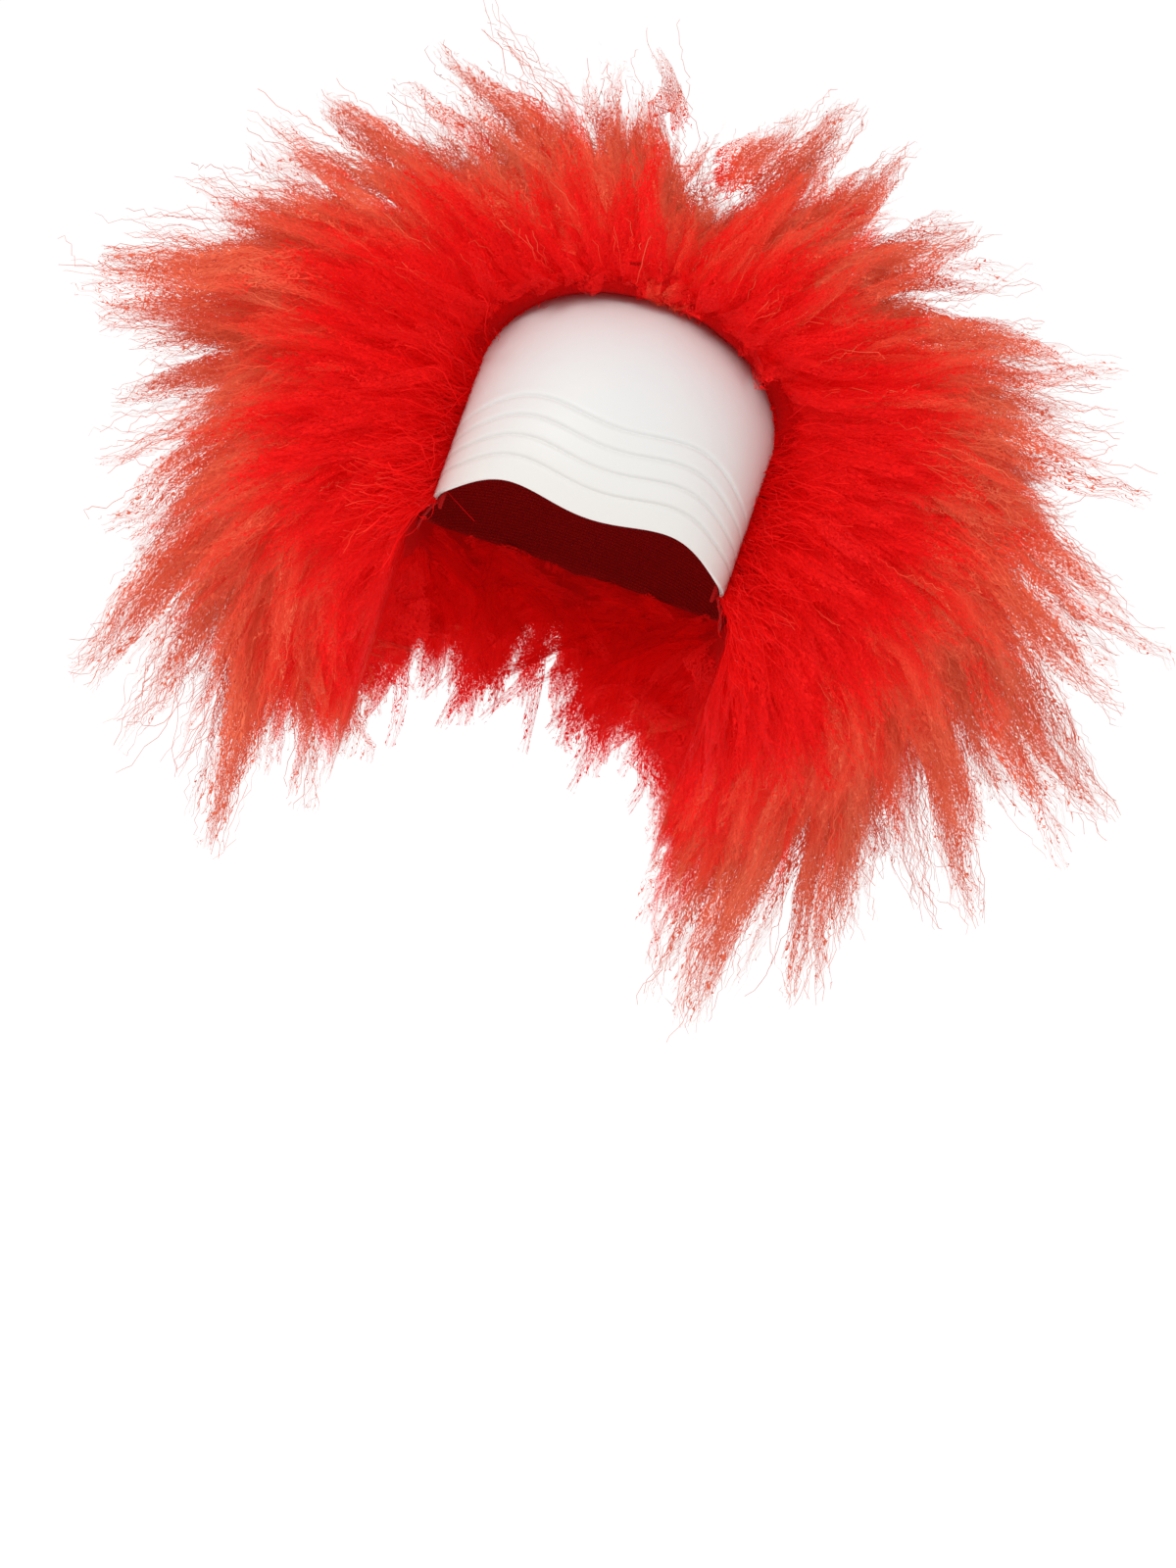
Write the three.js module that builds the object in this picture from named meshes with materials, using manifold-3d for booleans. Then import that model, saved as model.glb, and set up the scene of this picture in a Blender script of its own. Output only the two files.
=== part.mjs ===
// A clown wig, worn: a moulded bald forehead, a fabric cap behind it, and four sewn sections of
// teased hair whose locks stand out round the head. Millimetres, +Z up, the wearer faces -Y, and
// +X is the wearer's left. The origin is the centre of the head, level with the middle of the brow.
import * as THREE from "three";
import { mergeVertices } from "three/addons/utils/BufferGeometryUtils.js";
import Module from "manifold-3d";

const wasm = await Module();
wasm.setup();

// Driving dimensions
const CLEARANCE = 0.3; // between pieces that touch
const BROW_REACH = 98; // from the head's centre forward to the middle of the brow
const CROWN_HEIGHT = 79; // top of the bald forehead above the brow
const FOREHEAD_WIDTH = 130; // across the bald forehead, temple to temple
const FOREHEAD_WALL = 2;
const TEMPLE = { y: -62, z: -20 }; // lower corner of the rim, seen from the side
const CROWN_RIM = { y: 0, z: 79 }; // where the rim crosses the crown
const SHOULDER_SHARE = 0.53; // how far up the rim its straight sides reach
const BROW_LIFT = 6.5; // height of the two arches of the brow edge over the eyes
const BROW_DROP = 4; // how far its outer ends turn down
const WRINKLES = 4;
const WRINKLE_START = 12; // first wrinkle above the brow edge
const WRINKLE_PITCH = 9.8;
const WRINKLE_WIDTH = 3.2;
const WRINKLE_DEPTH = 0.9;
const CAP_WALL = 1.5;
const LAP_DEPTH = 9; // how far the cap reaches forward under the forehead's rim
const CAP_WIDTH = 156; // across the cap at the ears
const CAP_BACK = 96; // from the head's centre to the back of the cap
const CAP_TOP = 78;
const CAP_DEPTH = 104; // from the head's centre down to the cap's full roundness
const NAPE_DROP = 84; // hem below the brow at the back
const EAR_DROP = 42; // hem below the brow in front of the ear
const HAIR_REACH = 250; // from the head's centre to the longest lock's tip, seen from the front
const HAIR_BACK = 196; // from the head's centre back to the tips of the locks behind
const MASS_BACK_SHARE = 0.86; // how much of that the main mass takes
const LOCK_WIDTH = 58; // across a full lock near its root
const FACE_GAP = 146; // between the hair on both sides of the face
const NECK_BACK = 72; // how far back the open space for the neck reaches
const SECTION_GAP = 0.5; // between neighbouring sections of hair
const CROWN_SHARE = 0.84; // rise over run of the lines between the crown's section and the sides
const BACK_SHARE = 0.36; // share of HAIR_BACK where the back section begins

// Colours
const SHELL_WHITE = new THREE.Color(0.9, 0.88, 0.85);
const HAIR_RED = new THREE.Color(0.84, 0.05, 0.03);
const CAP_RED = new THREE.Color(0.55, 0.03, 0.02);

// The hair's main mass, by clock: degrees from the top, towards the wearer's left. reach is a share
// of HAIR_REACH, front is how many degrees from straight ahead the hair begins, and depth is how many
// degrees further back it has its full reach.
const MASS_OUTLINE = [
  { clock: -180, reach: 0.56, front: 120, depth: 30 },
  { clock: -160, reach: 0.6, front: 104, depth: 30 },
  { clock: -143, reach: 0.66, front: 80, depth: 34 },
  { clock: -124, reach: 0.72, front: 60, depth: 40 },
  { clock: -107, reach: 0.71, front: 49, depth: 44 },
  { clock: -85, reach: 0.71, front: 57, depth: 42 },
  { clock: -62, reach: 0.6, front: 68, depth: 34 },
  { clock: -30, reach: 0.49, front: 84, depth: 26 },
  { clock: 0, reach: 0.46, front: 91, depth: 24 },
  { clock: 30, reach: 0.51, front: 84, depth: 26 },
  { clock: 62, reach: 0.64, front: 68, depth: 34 },
  { clock: 85, reach: 0.71, front: 57, depth: 42 },
  { clock: 107, reach: 0.72, front: 49, depth: 44 },
  { clock: 124, reach: 0.72, front: 60, depth: 40 },
  { clock: 143, reach: 0.72, front: 80, depth: 34 },
  { clock: 160, reach: 0.64, front: 104, depth: 30 },
  { clock: 180, reach: 0.56, front: 120, depth: 30 },
];

// The mass from its front edge to its full reach: shares of the depth and of the reach
const MASS_FRONT = [
  { behind: -0.11, swell: 0.25 },
  { behind: 0.07, swell: 0.6 },
  { behind: 0.36, swell: 0.82 },
  { behind: 0.66, swell: 0.94 },
  { behind: 1, swell: 1 },
];

// One row for each lock of the outline: the tip's clock and reach, how many degrees it has sagged
// from its root's clock, and its width as a share of LOCK_WIDTH.
const OUTLINE_LOCKS = [
  { clock: -158, reach: 0.82, sag: -26, width: 0.55 },
  { clock: -152, reach: 0.98, sag: -26, width: 0.7 },
  { clock: -140, reach: 0.97, sag: -20, width: 0.85 },
  { clock: -130, reach: 1.0, sag: -14, width: 0.9 },
  { clock: -119, reach: 0.84, sag: -8, width: 0.85 },
  { clock: -107, reach: 0.86, sag: -6, width: 0.95 },
  { clock: -98, reach: 0.8, sag: -5, width: 0.8 },
  { clock: -88, reach: 0.98, sag: -4, width: 1.0 },
  { clock: -79, reach: 0.9, sag: -2, width: 0.9 },
  { clock: -69, reach: 0.76, sag: -2, width: 0.8 },
  { clock: -61, reach: 0.84, sag: -3, width: 0.95 },
  { clock: -48, reach: 0.68, sag: -4, width: 0.85 },
  { clock: -40, reach: 0.77, sag: -18, width: 0.9 },
  { clock: -28, reach: 0.66, sag: -6, width: 0.8 },
  { clock: -17, reach: 0.77, sag: -4, width: 0.85 },
  { clock: -4, reach: 0.6, sag: 0, width: 0.9 },
  { clock: 8, reach: 0.56, sag: 3, width: 0.75 },
  { clock: 18, reach: 0.74, sag: 4, width: 0.85 },
  { clock: 34, reach: 0.8, sag: 12, width: 0.95 },
  { clock: 46, reach: 0.68, sag: 6, width: 0.8 },
  { clock: 54, reach: 0.77, sag: 4, width: 0.9 },
  { clock: 65, reach: 0.87, sag: 6, width: 0.95 },
  { clock: 74, reach: 0.9, sag: 8, width: 0.9 },
  { clock: 89, reach: 0.97, sag: 16, width: 1.05 },
  { clock: 99, reach: 0.82, sag: 12, width: 0.9 },
  { clock: 108, reach: 1.02, sag: 12, width: 1.0 },
  { clock: 117, reach: 0.88, sag: 12, width: 0.9 },
  { clock: 125, reach: 0.95, sag: 12, width: 1.0 },
  { clock: 134, reach: 0.88, sag: 18, width: 0.9 },
  { clock: 143, reach: 0.98, sag: 24, width: 1.0 },
  { clock: 153, reach: 1.0, sag: 30, width: 0.8 },
];
const OUTLINE_POLAR = { top: 84, side: 88, bottom: 94 }; // where the outline's tips stand

// Rings of locks before and behind the outline. behind is the share of the way from the hair's front
// to the back of the head, turn the last clock of the ring on either side, lean how many degrees
// further forward the root is, and reach a share of the outline's own reach at that clock.
const LOCK_RINGS = [
  { behind: 0.12, turn: 146, reach: 0.7, lean: 4, count: 16, width: 0.8 },
  { behind: 0.25, turn: 104, reach: 0.88, lean: 4, count: 12, width: 0.95 },
  { behind: 0.42, turn: 168, reach: 0.93, lean: 7, count: 17, width: 1.05 },
  { behind: 0.6, turn: 180, reach: 0.96, lean: 9, count: 15, width: 1.15 },
  { behind: 0.76, turn: 180, reach: 0.97, lean: 10, count: 12, width: 1.2 },
  { behind: 0.9, turn: 180, reach: 0.97, lean: 9, count: 7, width: 1.25 },
  { behind: 0.99, turn: 0, reach: 1.0, lean: 6, count: 1, width: 1.2 },
];
const LOCK_SIDES = 5;
const LOCK_STEPS = 3;
const BACK_DROOP = new THREE.Vector3(0.05, 0, -0.14); // of the locks behind, for the weight of hair
const MASS_COLUMNS = 20;
const ROOT_DEPTH = 50; // a lock's root lies this far from the head's centre, inside the cap

const deg = THREE.MathUtils.degToRad;
const { lerp, smoothstep, clamp } = THREE.MathUtils;
const halfWidth = FOREHEAD_WIDTH / 2;

// Turns a closed geometry into a solid that can be joined and cut
function solidOf(geometry) {
  const bare = new THREE.BufferGeometry();
  bare.setAttribute("position", geometry.getAttribute("position"));
  bare.setIndex(geometry.index);
  const merged = mergeVertices(bare, 1e-3);
  return new wasm.Manifold(
    new wasm.Mesh({
      numProp: 3,
      vertProperties: new Float32Array(merged.attributes.position.array),
      triVerts: new Uint32Array(merged.index.array),
    }),
  );
}

// Turns a solid back into a geometry
function geometryOf(solid) {
  const made = solid.getMesh();
  const geometry = new THREE.BufferGeometry();
  geometry.setAttribute("position", new THREE.BufferAttribute(made.vertProperties, 3));
  geometry.setIndex(new THREE.BufferAttribute(made.triVerts, 1));
  geometry.computeVertexNormals();
  return geometry;
}

// A closed wall between two surfaces, each a function of a share across and a share along
function wallBetween(outer, inner, across, along) {
  const sheet = new THREE.PlaneGeometry(1, 1, across.length - 1, along.length - 1);
  const columns = across.length;
  const count = columns * along.length;
  const position = new Float32Array(count * 6);
  along.forEach((b, row) =>
    across.forEach((a, column) => {
      const at = row * columns + column;
      outer(a, b).toArray(position, at * 3);
      inner(a, b).toArray(position, (count + at) * 3);
    }),
  );
  const index = [];
  const faces = sheet.index.array;
  for (let i = 0; i < faces.length; i += 3) {
    index.push(faces[i], faces[i + 2], faces[i + 1]);
    index.push(count + faces[i], count + faces[i + 1], count + faces[i + 2]);
  }
  const rim = [];
  for (let c = 0; c < columns - 1; c++) rim.push(c);
  for (let r = 0; r < along.length - 1; r++) rim.push(r * columns + columns - 1);
  for (let c = columns - 1; c > 0; c--) rim.push((along.length - 1) * columns + c);
  for (let r = along.length - 1; r > 0; r--) rim.push(r * columns);
  rim.forEach((a, i) => {
    const b = rim[(i + 1) % rim.length];
    index.push(a, count + a, b, b, count + a, count + b);
  });
  const wall = new THREE.BufferGeometry();
  wall.setAttribute("position", new THREE.BufferAttribute(position, 3));
  wall.setIndex(index);
  return wall;
}

// The outward normal of a surface, from its neighbouring points
function normalOn(surface, a, b) {
  const step = 1e-3;
  const overA = surface(a + step, b).sub(surface(a - step, b));
  const overB = surface(a, b + step).sub(surface(a, b - step));
  const normal = overB.cross(overA).normalize();
  return normal.dot(surface(a, b)) < 0 ? normal.negate() : normal;
}

// A surface moved along its own normals
function offset(surface, distance) {
  return (a, b) => surface(a, b).addScaledVector(normalOn(surface, a, b), distance);
}

const evenly = (from, to, steps) => Array.from({ length: steps + 1 }, (_, i) => lerp(from, to, i / steps));

// The forehead. Its rim lies in one sloping plane: straight up both temples, then an arch over the crown.
const rimSlope = new THREE.Vector3(0, CROWN_RIM.y - TEMPLE.y, CROWN_RIM.z - TEMPLE.z);
const rimLength = rimSlope.length();
rimSlope.normalize();
const shoulderHeight = SHOULDER_SHARE * rimLength;
const EDGE_TURN = deg(86); // the forehead's surface has turned this far at its side rims
const PROFILE_CENTRE = { y: -8, z: -5 };
const LOWEST_RISE = Math.asin(-PROFILE_CENTRE.z / (CROWN_HEIGHT - PROFILE_CENTRE.z));
const HIGHEST_RISE = Math.PI - Math.acos((CROWN_RIM.y - PROFILE_CENTRE.y) / (BROW_REACH + PROFILE_CENTRE.y));

// Point on the forehead at a turn from -1 to 1 across it, and at a rise angle over it
function foreheadAt(turn, rise) {
  const radiusY = BROW_REACH + PROFILE_CENTRE.y;
  const radiusZ = CROWN_HEIGHT - PROFILE_CENTRE.z;
  const share = (rise - LOWEST_RISE) / (HIGHEST_RISE - LOWEST_RISE);
  const up = share * shoulderHeight;
  const side = { y: TEMPLE.y + rimSlope.y * up, z: TEMPLE.z + rimSlope.z * up };
  const middle = {
    y: PROFILE_CENTRE.y - radiusY * Math.cos(rise),
    z: PROFILE_CENTRE.z + radiusZ * Math.sin(rise),
  };
  const bow = Math.cos(turn * EDGE_TURN);
  return new THREE.Vector3(
    (halfWidth * Math.sin(turn * EDGE_TURN)) / Math.sin(EDGE_TURN),
    lerp(side.y, middle.y, bow),
    lerp(side.z, middle.z, bow),
  );
}

// How far the brow edge stands above a level line: two arches over the eyes, with ends turned down
function browWave(turn) {
  const arches = Math.min(1, Math.abs(turn) * 1.2);
  return BROW_LIFT * Math.sin(Math.PI * arches) ** 2 - BROW_DROP * turn ** 8;
}

// Rise angle at a distance above the brow edge. The wave fades with height, and the angle is worked
// out with the surface's radius at that turn.
function riseAbove(turn, distance) {
  const radius = lerp(58, CROWN_HEIGHT + 8, Math.cos(turn * EDGE_TURN));
  return LOWEST_RISE + (browWave(turn) + distance) / radius;
}

const wrinkleHeights = Array.from({ length: WRINKLES }, (_, i) => WRINKLE_START + i * WRINKLE_PITCH);
const smoothFrom = wrinkleHeights[WRINKLES - 1] + WRINKLE_WIDTH;

// The forehead's rows, as heights above the brow edge and then as shares of the way to the rim
const foreheadRows = [{ height: 0 }, { height: WRINKLE_START / 2 }];
for (const height of wrinkleHeights) {
  foreheadRows.push({ height: height - WRINKLE_WIDTH / 2 });
  foreheadRows.push({ height, groove: WRINKLE_DEPTH });
  foreheadRows.push({ height: height + WRINKLE_WIDTH / 2 });
}
foreheadRows.push({ height: smoothFrom + WRINKLE_WIDTH });
for (const share of evenly(0, 1, 8).slice(1)) foreheadRows.push({ share });

// Rise of a row, where b counts rows and may lie between two of them
function rowRise(turn, b) {
  const rise = (row) => {
    if (row.share === undefined) return riseAbove(turn, row.height);
    return lerp(riseAbove(turn, smoothFrom + WRINKLE_WIDTH), HIGHEST_RISE, row.share);
  };
  const low = clamp(Math.floor(b), 0, foreheadRows.length - 2);
  return lerp(rise(foreheadRows[low]), rise(foreheadRows[low + 1]), b - low);
}

const foreheadSurface = (turn, b) => foreheadAt(turn, rowRise(turn, b));

function foreheadOuter(turn, b) {
  const groove = foreheadRows[Math.round(b)].groove ?? 0;
  return offset(foreheadSurface, -groove)(turn, b);
}

const foreheadAcross = evenly(-1, 1, 24);

function makeForehead() {
  const along = foreheadRows.map((_, i) => i);
  return wallBetween(foreheadOuter, offset(foreheadSurface, -FOREHEAD_WALL), foreheadAcross, along);
}

// The rim as one run from the wearer's right temple over the crown to the left: a side, the arch, a side
const RIM_SIDE_SHARE = 0.2;
const LAP_SHARE = 0.1;
const LAP_TURN = 0.13; // share of the forehead's half turn that the lap takes up at the temples

function rimTurn(k) {
  const side = 1 - 2 * RIM_SIDE_SHARE;
  return clamp(k / side, -1, 1);
}

function rimRise(k) {
  const side = 1 - 2 * RIM_SIDE_SHARE;
  const down = Math.max(0, (Math.abs(k) - side) / (1 - side));
  return lerp(HIGHEST_RISE, riseAbove(1, 0), down);
}

// The cap laps under the forehead's rim. lap runs from 0 at the rim to 1 at the cap's front edge.
function capLap(k, lap) {
  const turn = rimTurn(k);
  const sideways = smoothstep(Math.abs(turn), 0.6, 1);
  const inward = FOREHEAD_WALL + CLEARANCE;
  return offset(foreheadAt, -inward)(
    turn * (1 - lap * sideways * LAP_TURN),
    rimRise(k) - (lap * LAP_DEPTH) / (CROWN_HEIGHT + 8),
  );
}

// How far the cap stands from the head's centre in a direction: a rounded box-like head, narrower
// in front than behind
function capRadius(direction) {
  const narrow = 1 + 0.13 * clamp(direction.y, -1, 1);
  const down = direction.z < 0 ? CAP_DEPTH : CAP_TOP;
  const sum =
    (Math.abs(direction.x) / ((CAP_WIDTH / 2) * narrow)) ** 2.3 +
    (Math.abs(direction.y) / CAP_BACK) ** 2.3 +
    (Math.abs(direction.z) / down) ** 2.3;
  return sum ** (-1 / 2.3);
}

// Direction of the hem, from in front of one ear round the nape to the other
function hemDirection(k) {
  const azimuth = deg(180 - 121 * Math.abs(k) ** 1.15) * Math.sign(k || 1);
  const drop = lerp(NAPE_DROP, EAR_DROP, Math.abs(k) ** 0.9);
  const round = lerp(CAP_BACK, CAP_WIDTH / 2, Math.abs(Math.sin(azimuth)));
  return new THREE.Vector3(Math.sin(azimuth) * round, -Math.cos(azimuth) * round, -drop).normalize();
}

// Point on the cap's outer face: the lap below share 0, then from the rim to the hem at share 1
function capAt(k, share) {
  if (share < 0) return capLap(k, -share / LAP_SHARE);
  const front = capLap(k, 0);
  const from = front.clone().normalize();
  const to = hemDirection(k);
  const angle = from.angleTo(to);
  const way = from
    .multiplyScalar(Math.sin((1 - share) * angle))
    .addScaledVector(to, Math.sin(share * angle))
    .normalize();
  const settled = smoothstep(share * angle, 0, 0.9);
  return way.clone().multiplyScalar(lerp(front.length(), capRadius(way), settled));
}

const capAcross = evenly(-1, 1, 22);
const capAlong = [-LAP_SHARE, -LAP_SHARE / 2, ...evenly(0, 1, 9)];

function makeCap() {
  return wallBetween(capAt, offset(capAt, -CAP_WALL), capAcross, capAlong);
}

// Linear reading of a table by clock
function tableAt(rows, clock, key) {
  const next = Math.max(1, rows.findIndex((row) => row.clock >= clock));
  const [a, b] = [rows[next - 1], rows[next]];
  return lerp(a[key], b[key], clamp((clock - a.clock) / (b.clock - a.clock), 0, 1));
}

// Direction from the head's centre: clock as in the tables, polar from straight ahead to straight back
function towards(clock, polar) {
  const [c, p] = [deg(clock), deg(polar)];
  return new THREE.Vector3(Math.sin(p) * Math.sin(c), -Math.cos(p), Math.sin(p) * Math.cos(c));
}

// A reach at the sides rounded off to another behind, at a polar angle in degrees
function rounded(reach, back, polar) {
  if (polar < 90) return reach;
  return 1 / Math.hypot(Math.sin(deg(polar)) / reach, Math.cos(deg(polar)) / back);
}

// The hair's main mass: a ball whose front is drawn in to the forehead's rim. grow makes it thicker.
function makeMass(grow) {
  const backRows = 5;
  const rows = MASS_FRONT.length + backRows;
  const ball = new THREE.SphereGeometry(1, MASS_COLUMNS, rows);
  const place = ball.getAttribute("position");
  for (let i = 0; i < place.count; i++) {
    const row = Math.floor(i / (MASS_COLUMNS + 1));
    const clock = 180 - (360 * (i % (MASS_COLUMNS + 1))) / MASS_COLUMNS;
    const front = tableAt(MASS_OUTLINE, clock, "front");
    const reach = HAIR_REACH * tableAt(MASS_OUTLINE, clock, "reach");
    const depth = tableAt(MASS_OUTLINE, clock, "depth");
    const early = MASS_FRONT[row - 1];
    const later = (row - MASS_FRONT.length) / backRows;
    const polar = early ? front + early.behind * depth : lerp(front + depth, 180, later);
    const swell = early ? early.swell : 1;
    const radius = rounded(reach, HAIR_BACK * MASS_BACK_SHARE, polar) * swell + grow;
    if (row > 0) towards(clock, polar).multiplyScalar(radius).toArray(place.array, i * 3);
    else place.setXYZ(i, 0, 0, 0);
  }
  return ball;
}

// One lock: a cone drawn along a curve from inside the mass to the tip
function makeLock(rootWay, tipWay, reach, width) {
  const root = rootWay.clone().multiplyScalar(ROOT_DEPTH);
  const tip = tipWay.clone().multiplyScalar(reach);
  const length = root.distanceTo(tip);
  const out = rootWay.clone().multiplyScalar(length * 0.45).add(root);
  const back = tipWay.clone().lerp(rootWay, -0.6).normalize().multiplyScalar(-length * 0.22).add(tip);
  const curve = new THREE.CubicBezierCurve3(root, out, back, tip);
  const cone = new THREE.ConeGeometry(1, 1, LOCK_SIDES, LOCK_STEPS);
  const place = cone.getAttribute("position");
  for (let i = 0; i < place.count; i++) {
    // Few steps inside the mass, more towards the tip
    const share = 1 - (1 - clamp(place.getY(i) + 0.5, 0, 1)) ** 1.5;
    const along = curve.getTangent(share);
    const side = new THREE.Vector3().crossVectors(along, new THREE.Vector3(0, 1, 0.02)).normalize();
    const lift = new THREE.Vector3().crossVectors(side, along);
    // Full over the inner half, then drawn to a point
    const full = (width / 2) * Math.sqrt(clamp(1.25 * (1 - share), 0, 1));
    const around = Math.atan2(place.getZ(i), place.getX(i));
    const onAxis = Math.hypot(place.getX(i), place.getZ(i)) < 1e-6;
    const radius = onAxis ? 0 : full;
    const at = curve.getPoint(share);
    at.addScaledVector(side, radius * Math.cos(around)).addScaledVector(lift, radius * Math.sin(around));
    place.setXYZ(i, at.x, at.y, at.z);
  }
  return cone;
}

// Polar angle of the outline's tips: leaning forward over the brow, level at the sides
function outlinePolar(clock) {
  const height = Math.cos(deg(clock));
  const { top, side, bottom } = OUTLINE_POLAR;
  return height > 0 ? lerp(side, top, height) : lerp(side, bottom, -height);
}

// All the locks, as the places of their roots and tips
function lockPlaces() {
  const places = OUTLINE_LOCKS.map(({ clock, reach, sag, width }) => ({
    clock,
    root: towards(clock - sag, outlinePolar(clock) - 4),
    tip: towards(clock, outlinePolar(clock)),
    reach: reach * HAIR_REACH,
    width: width * LOCK_WIDTH,
  }));
  for (const ring of LOCK_RINGS) {
    for (let i = 0; i < ring.count; i++) {
      const clock = lerp(-ring.turn, ring.turn, (i + 0.5) / ring.count);
      const wobble = Math.sin(clock * 2.4 + ring.behind * 100);
      const polar = lerp(tableAt(MASS_OUTLINE, clock, "front"), 180, ring.behind);
      const outline = HAIR_REACH * tableAt(OUTLINE_LOCKS, clock, "reach");
      places.push({
        clock,
        root: towards(clock * 0.97, polar - ring.lean),
        tip: towards(clock + 4 * wobble, polar + 4 * wobble).addScaledVector(BACK_DROOP, ring.behind),
        reach: ring.reach * rounded(outline, HAIR_BACK, polar) * (1 + 0.06 * wobble),
        width: ring.width * LOCK_WIDTH,
      });
    }
  }
  return places;
}

// A block that fills the head behind a surface, standing proud of it by a clearance
function headBlock(surface, across, along) {
  const proud = offset(surface, CLEARANCE);
  const deepInside = (a, b) => surface(a, b).multiplyScalar(0.3);
  return solidOf(wallBetween(proud, deepInside, across, along));
}

// The head itself, a little inside the cap's outer face
function headForm() {
  const ball = new THREE.SphereGeometry(1, 18, 10);
  const place = ball.getAttribute("position");
  const v = new THREE.Vector3();
  for (let i = 0; i < place.count; i++) {
    v.fromBufferAttribute(place, i);
    v.multiplyScalar(capRadius(v) - CAP_WALL / 2);
    place.setXYZ(i, v.x, v.y, v.z);
  }
  return solidOf(ball);
}

function box(x, y, z) {
  const made = new THREE.BoxGeometry(x[1] - x[0], y[1] - y[0], z[1] - z[0]);
  made.translate((x[0] + x[1]) / 2, (y[0] + y[1]) / 2, (z[0] + z[1]) / 2);
  return solidOf(made);
}

// The open space round the face and neck: a block with a rounded back
function neckSpace() {
  const far = 2 * HAIR_REACH;
  const half = FACE_GAP / 2;
  const plan = new THREE.Shape();
  plan.moveTo(-half, -far);
  plan.lineTo(half, -far);
  plan.absellipse(0, 0, half, NECK_BACK, 0, Math.PI, false);
  plan.closePath();
  const space = new THREE.ExtrudeGeometry(plan, { depth: far, bevelEnabled: false, curveSegments: 7 });
  space.translate(0, 0, TEMPLE.z - 6 - far);
  return solidOf(space);
}

// Everything that stays clear of hair: the head, the face, the neck, and the view of the forehead
function openSpace() {
  const far = 2 * HAIR_REACH;
  const sight = new THREE.Shape();
  const reveal = halfWidth + CLEARANCE + 1;
  const shoulderZ = TEMPLE.z + rimSlope.z * shoulderHeight;
  sight.moveTo(-reveal, -far);
  sight.lineTo(reveal, -far);
  sight.lineTo(reveal, shoulderZ);
  sight.absellipse(0, shoulderZ, reveal, CROWN_RIM.z + 2 - shoulderZ, 0, Math.PI, false);
  sight.closePath();
  const tunnel = new THREE.ExtrudeGeometry(sight, { depth: far, bevelEnabled: false, curveSegments: 12 });
  // Extruded along its own +Z, then laid so that it ends at the crown's rim and opens forwards
  tunnel.rotateX(Math.PI / 2);
  tunnel.translate(0, CROWN_RIM.y - 4, 0);
  const rows = foreheadRows.map((_, i) => i).filter((i) => !foreheadRows[i].groove);
  const last = foreheadRows.length - 1;
  return [
    solidOf(tunnel),
    headBlock(capAt, [-1.03, ...capAcross, 1.03], [...capAlong, 1.03]),
    headForm(),
    headBlock(foreheadSurface, [-1.01, ...foreheadAcross, 1.01], [...rows, last + 0.05]),
    neckSpace(),
  ];
}

// Each section's name and the directions that belong to it
const SECTIONS = {
  hair_crown: (way) => way.y < BACK_SHARE && way.z > CROWN_SHARE * Math.abs(way.x),
  hair_left: (way) => way.y < BACK_SHARE && way.x > 0 && way.z <= CROWN_SHARE * way.x,
  hair_right: (way) => way.y < BACK_SHARE && way.x <= 0 && way.z <= CROWN_SHARE * -way.x,
  hair_back: (way) => way.y >= BACK_SHARE,
};

// Blocks that share out the mass between the sections
function sectionBlocks() {
  const far = 2 * HAIR_REACH;
  const edge = HAIR_BACK * BACK_SHARE;
  const wedge = (from, to) => {
    const outline = new THREE.Shape();
    outline.moveTo(0, 0);
    for (const clock of evenly(to, from, 4)) {
      outline.lineTo(far * Math.sin(deg(clock)), far * Math.cos(deg(clock)));
    }
    outline.closePath();
    const block = new THREE.ExtrudeGeometry(outline, { depth: far + edge, bevelEnabled: false });
    block.rotateX(Math.PI / 2);
    block.translate(0, edge, 0);
    return solidOf(block);
  };
  const spread = THREE.MathUtils.radToDeg(Math.atan2(1, CROWN_SHARE));
  return {
    hair_crown: wedge(-spread, spread),
    hair_left: wedge(spread, 180),
    hair_right: wedge(-180, -spread),
    hair_back: box([-far, far], [edge, far], [-far, far]),
  };
}

// A section's share of the mass with its own locks, all of it grown by a clearance if asked
function sectionForm(name, block, grow) {
  const mine = lockPlaces().filter(({ root }) => SECTIONS[name](root));
  const locks = mine.map((l) => solidOf(makeLock(l.root, l.tip, l.reach + grow, l.width + 2 * grow)));
  return wasm.Manifold.union([solidOf(makeMass(grow)).intersect(block), ...locks]);
}

// The sections of hair, each kept a gap clear of the ones before it
function makeHair() {
  const open = wasm.Manifold.union(openSpace());
  const blocks = sectionBlocks();
  const done = {};
  let taken = open;
  for (const [name, block] of Object.entries(blocks)) {
    done[name] = mainBody(sectionForm(name, block, 0).subtract(taken));
    taken = taken.add(sectionForm(name, block, SECTION_GAP));
  }
  return done;
}

// The biggest body of a solid: what is left of a lock cut off by a gap is dropped
function mainBody(solid) {
  return solid.decompose().sort((a, b) => b.volume() - a.volume())[0];
}

function part(name, geometry, material) {
  const mesh = new THREE.Mesh(geometry, material);
  mesh.name = name;
  return mesh;
}

const shellWhite = new THREE.MeshStandardMaterial({ color: SHELL_WHITE, roughness: 0.55, metalness: 0 });
const hairRed = new THREE.MeshStandardMaterial({ color: HAIR_RED, roughness: 0.8, metalness: 0 });
const capRed = new THREE.MeshStandardMaterial({ color: CAP_RED, roughness: 0.9, metalness: 0 });

const wig = new THREE.Group();
wig.add(part("forehead", makeForehead(), shellWhite));
wig.add(part("cap", makeCap(), capRed));
for (const [name, solid] of Object.entries(makeHair())) {
  wig.add(part(name, geometryOf(solid), hairRed));
}

export default wig;
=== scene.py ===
"""A clown wig: a moulded white forehead, a fabric cap and frizzy red hair in sewn sections.

Lengths are in millimetres up to the last step of each piece, and the origin is the head's centre.
"""

import math

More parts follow.
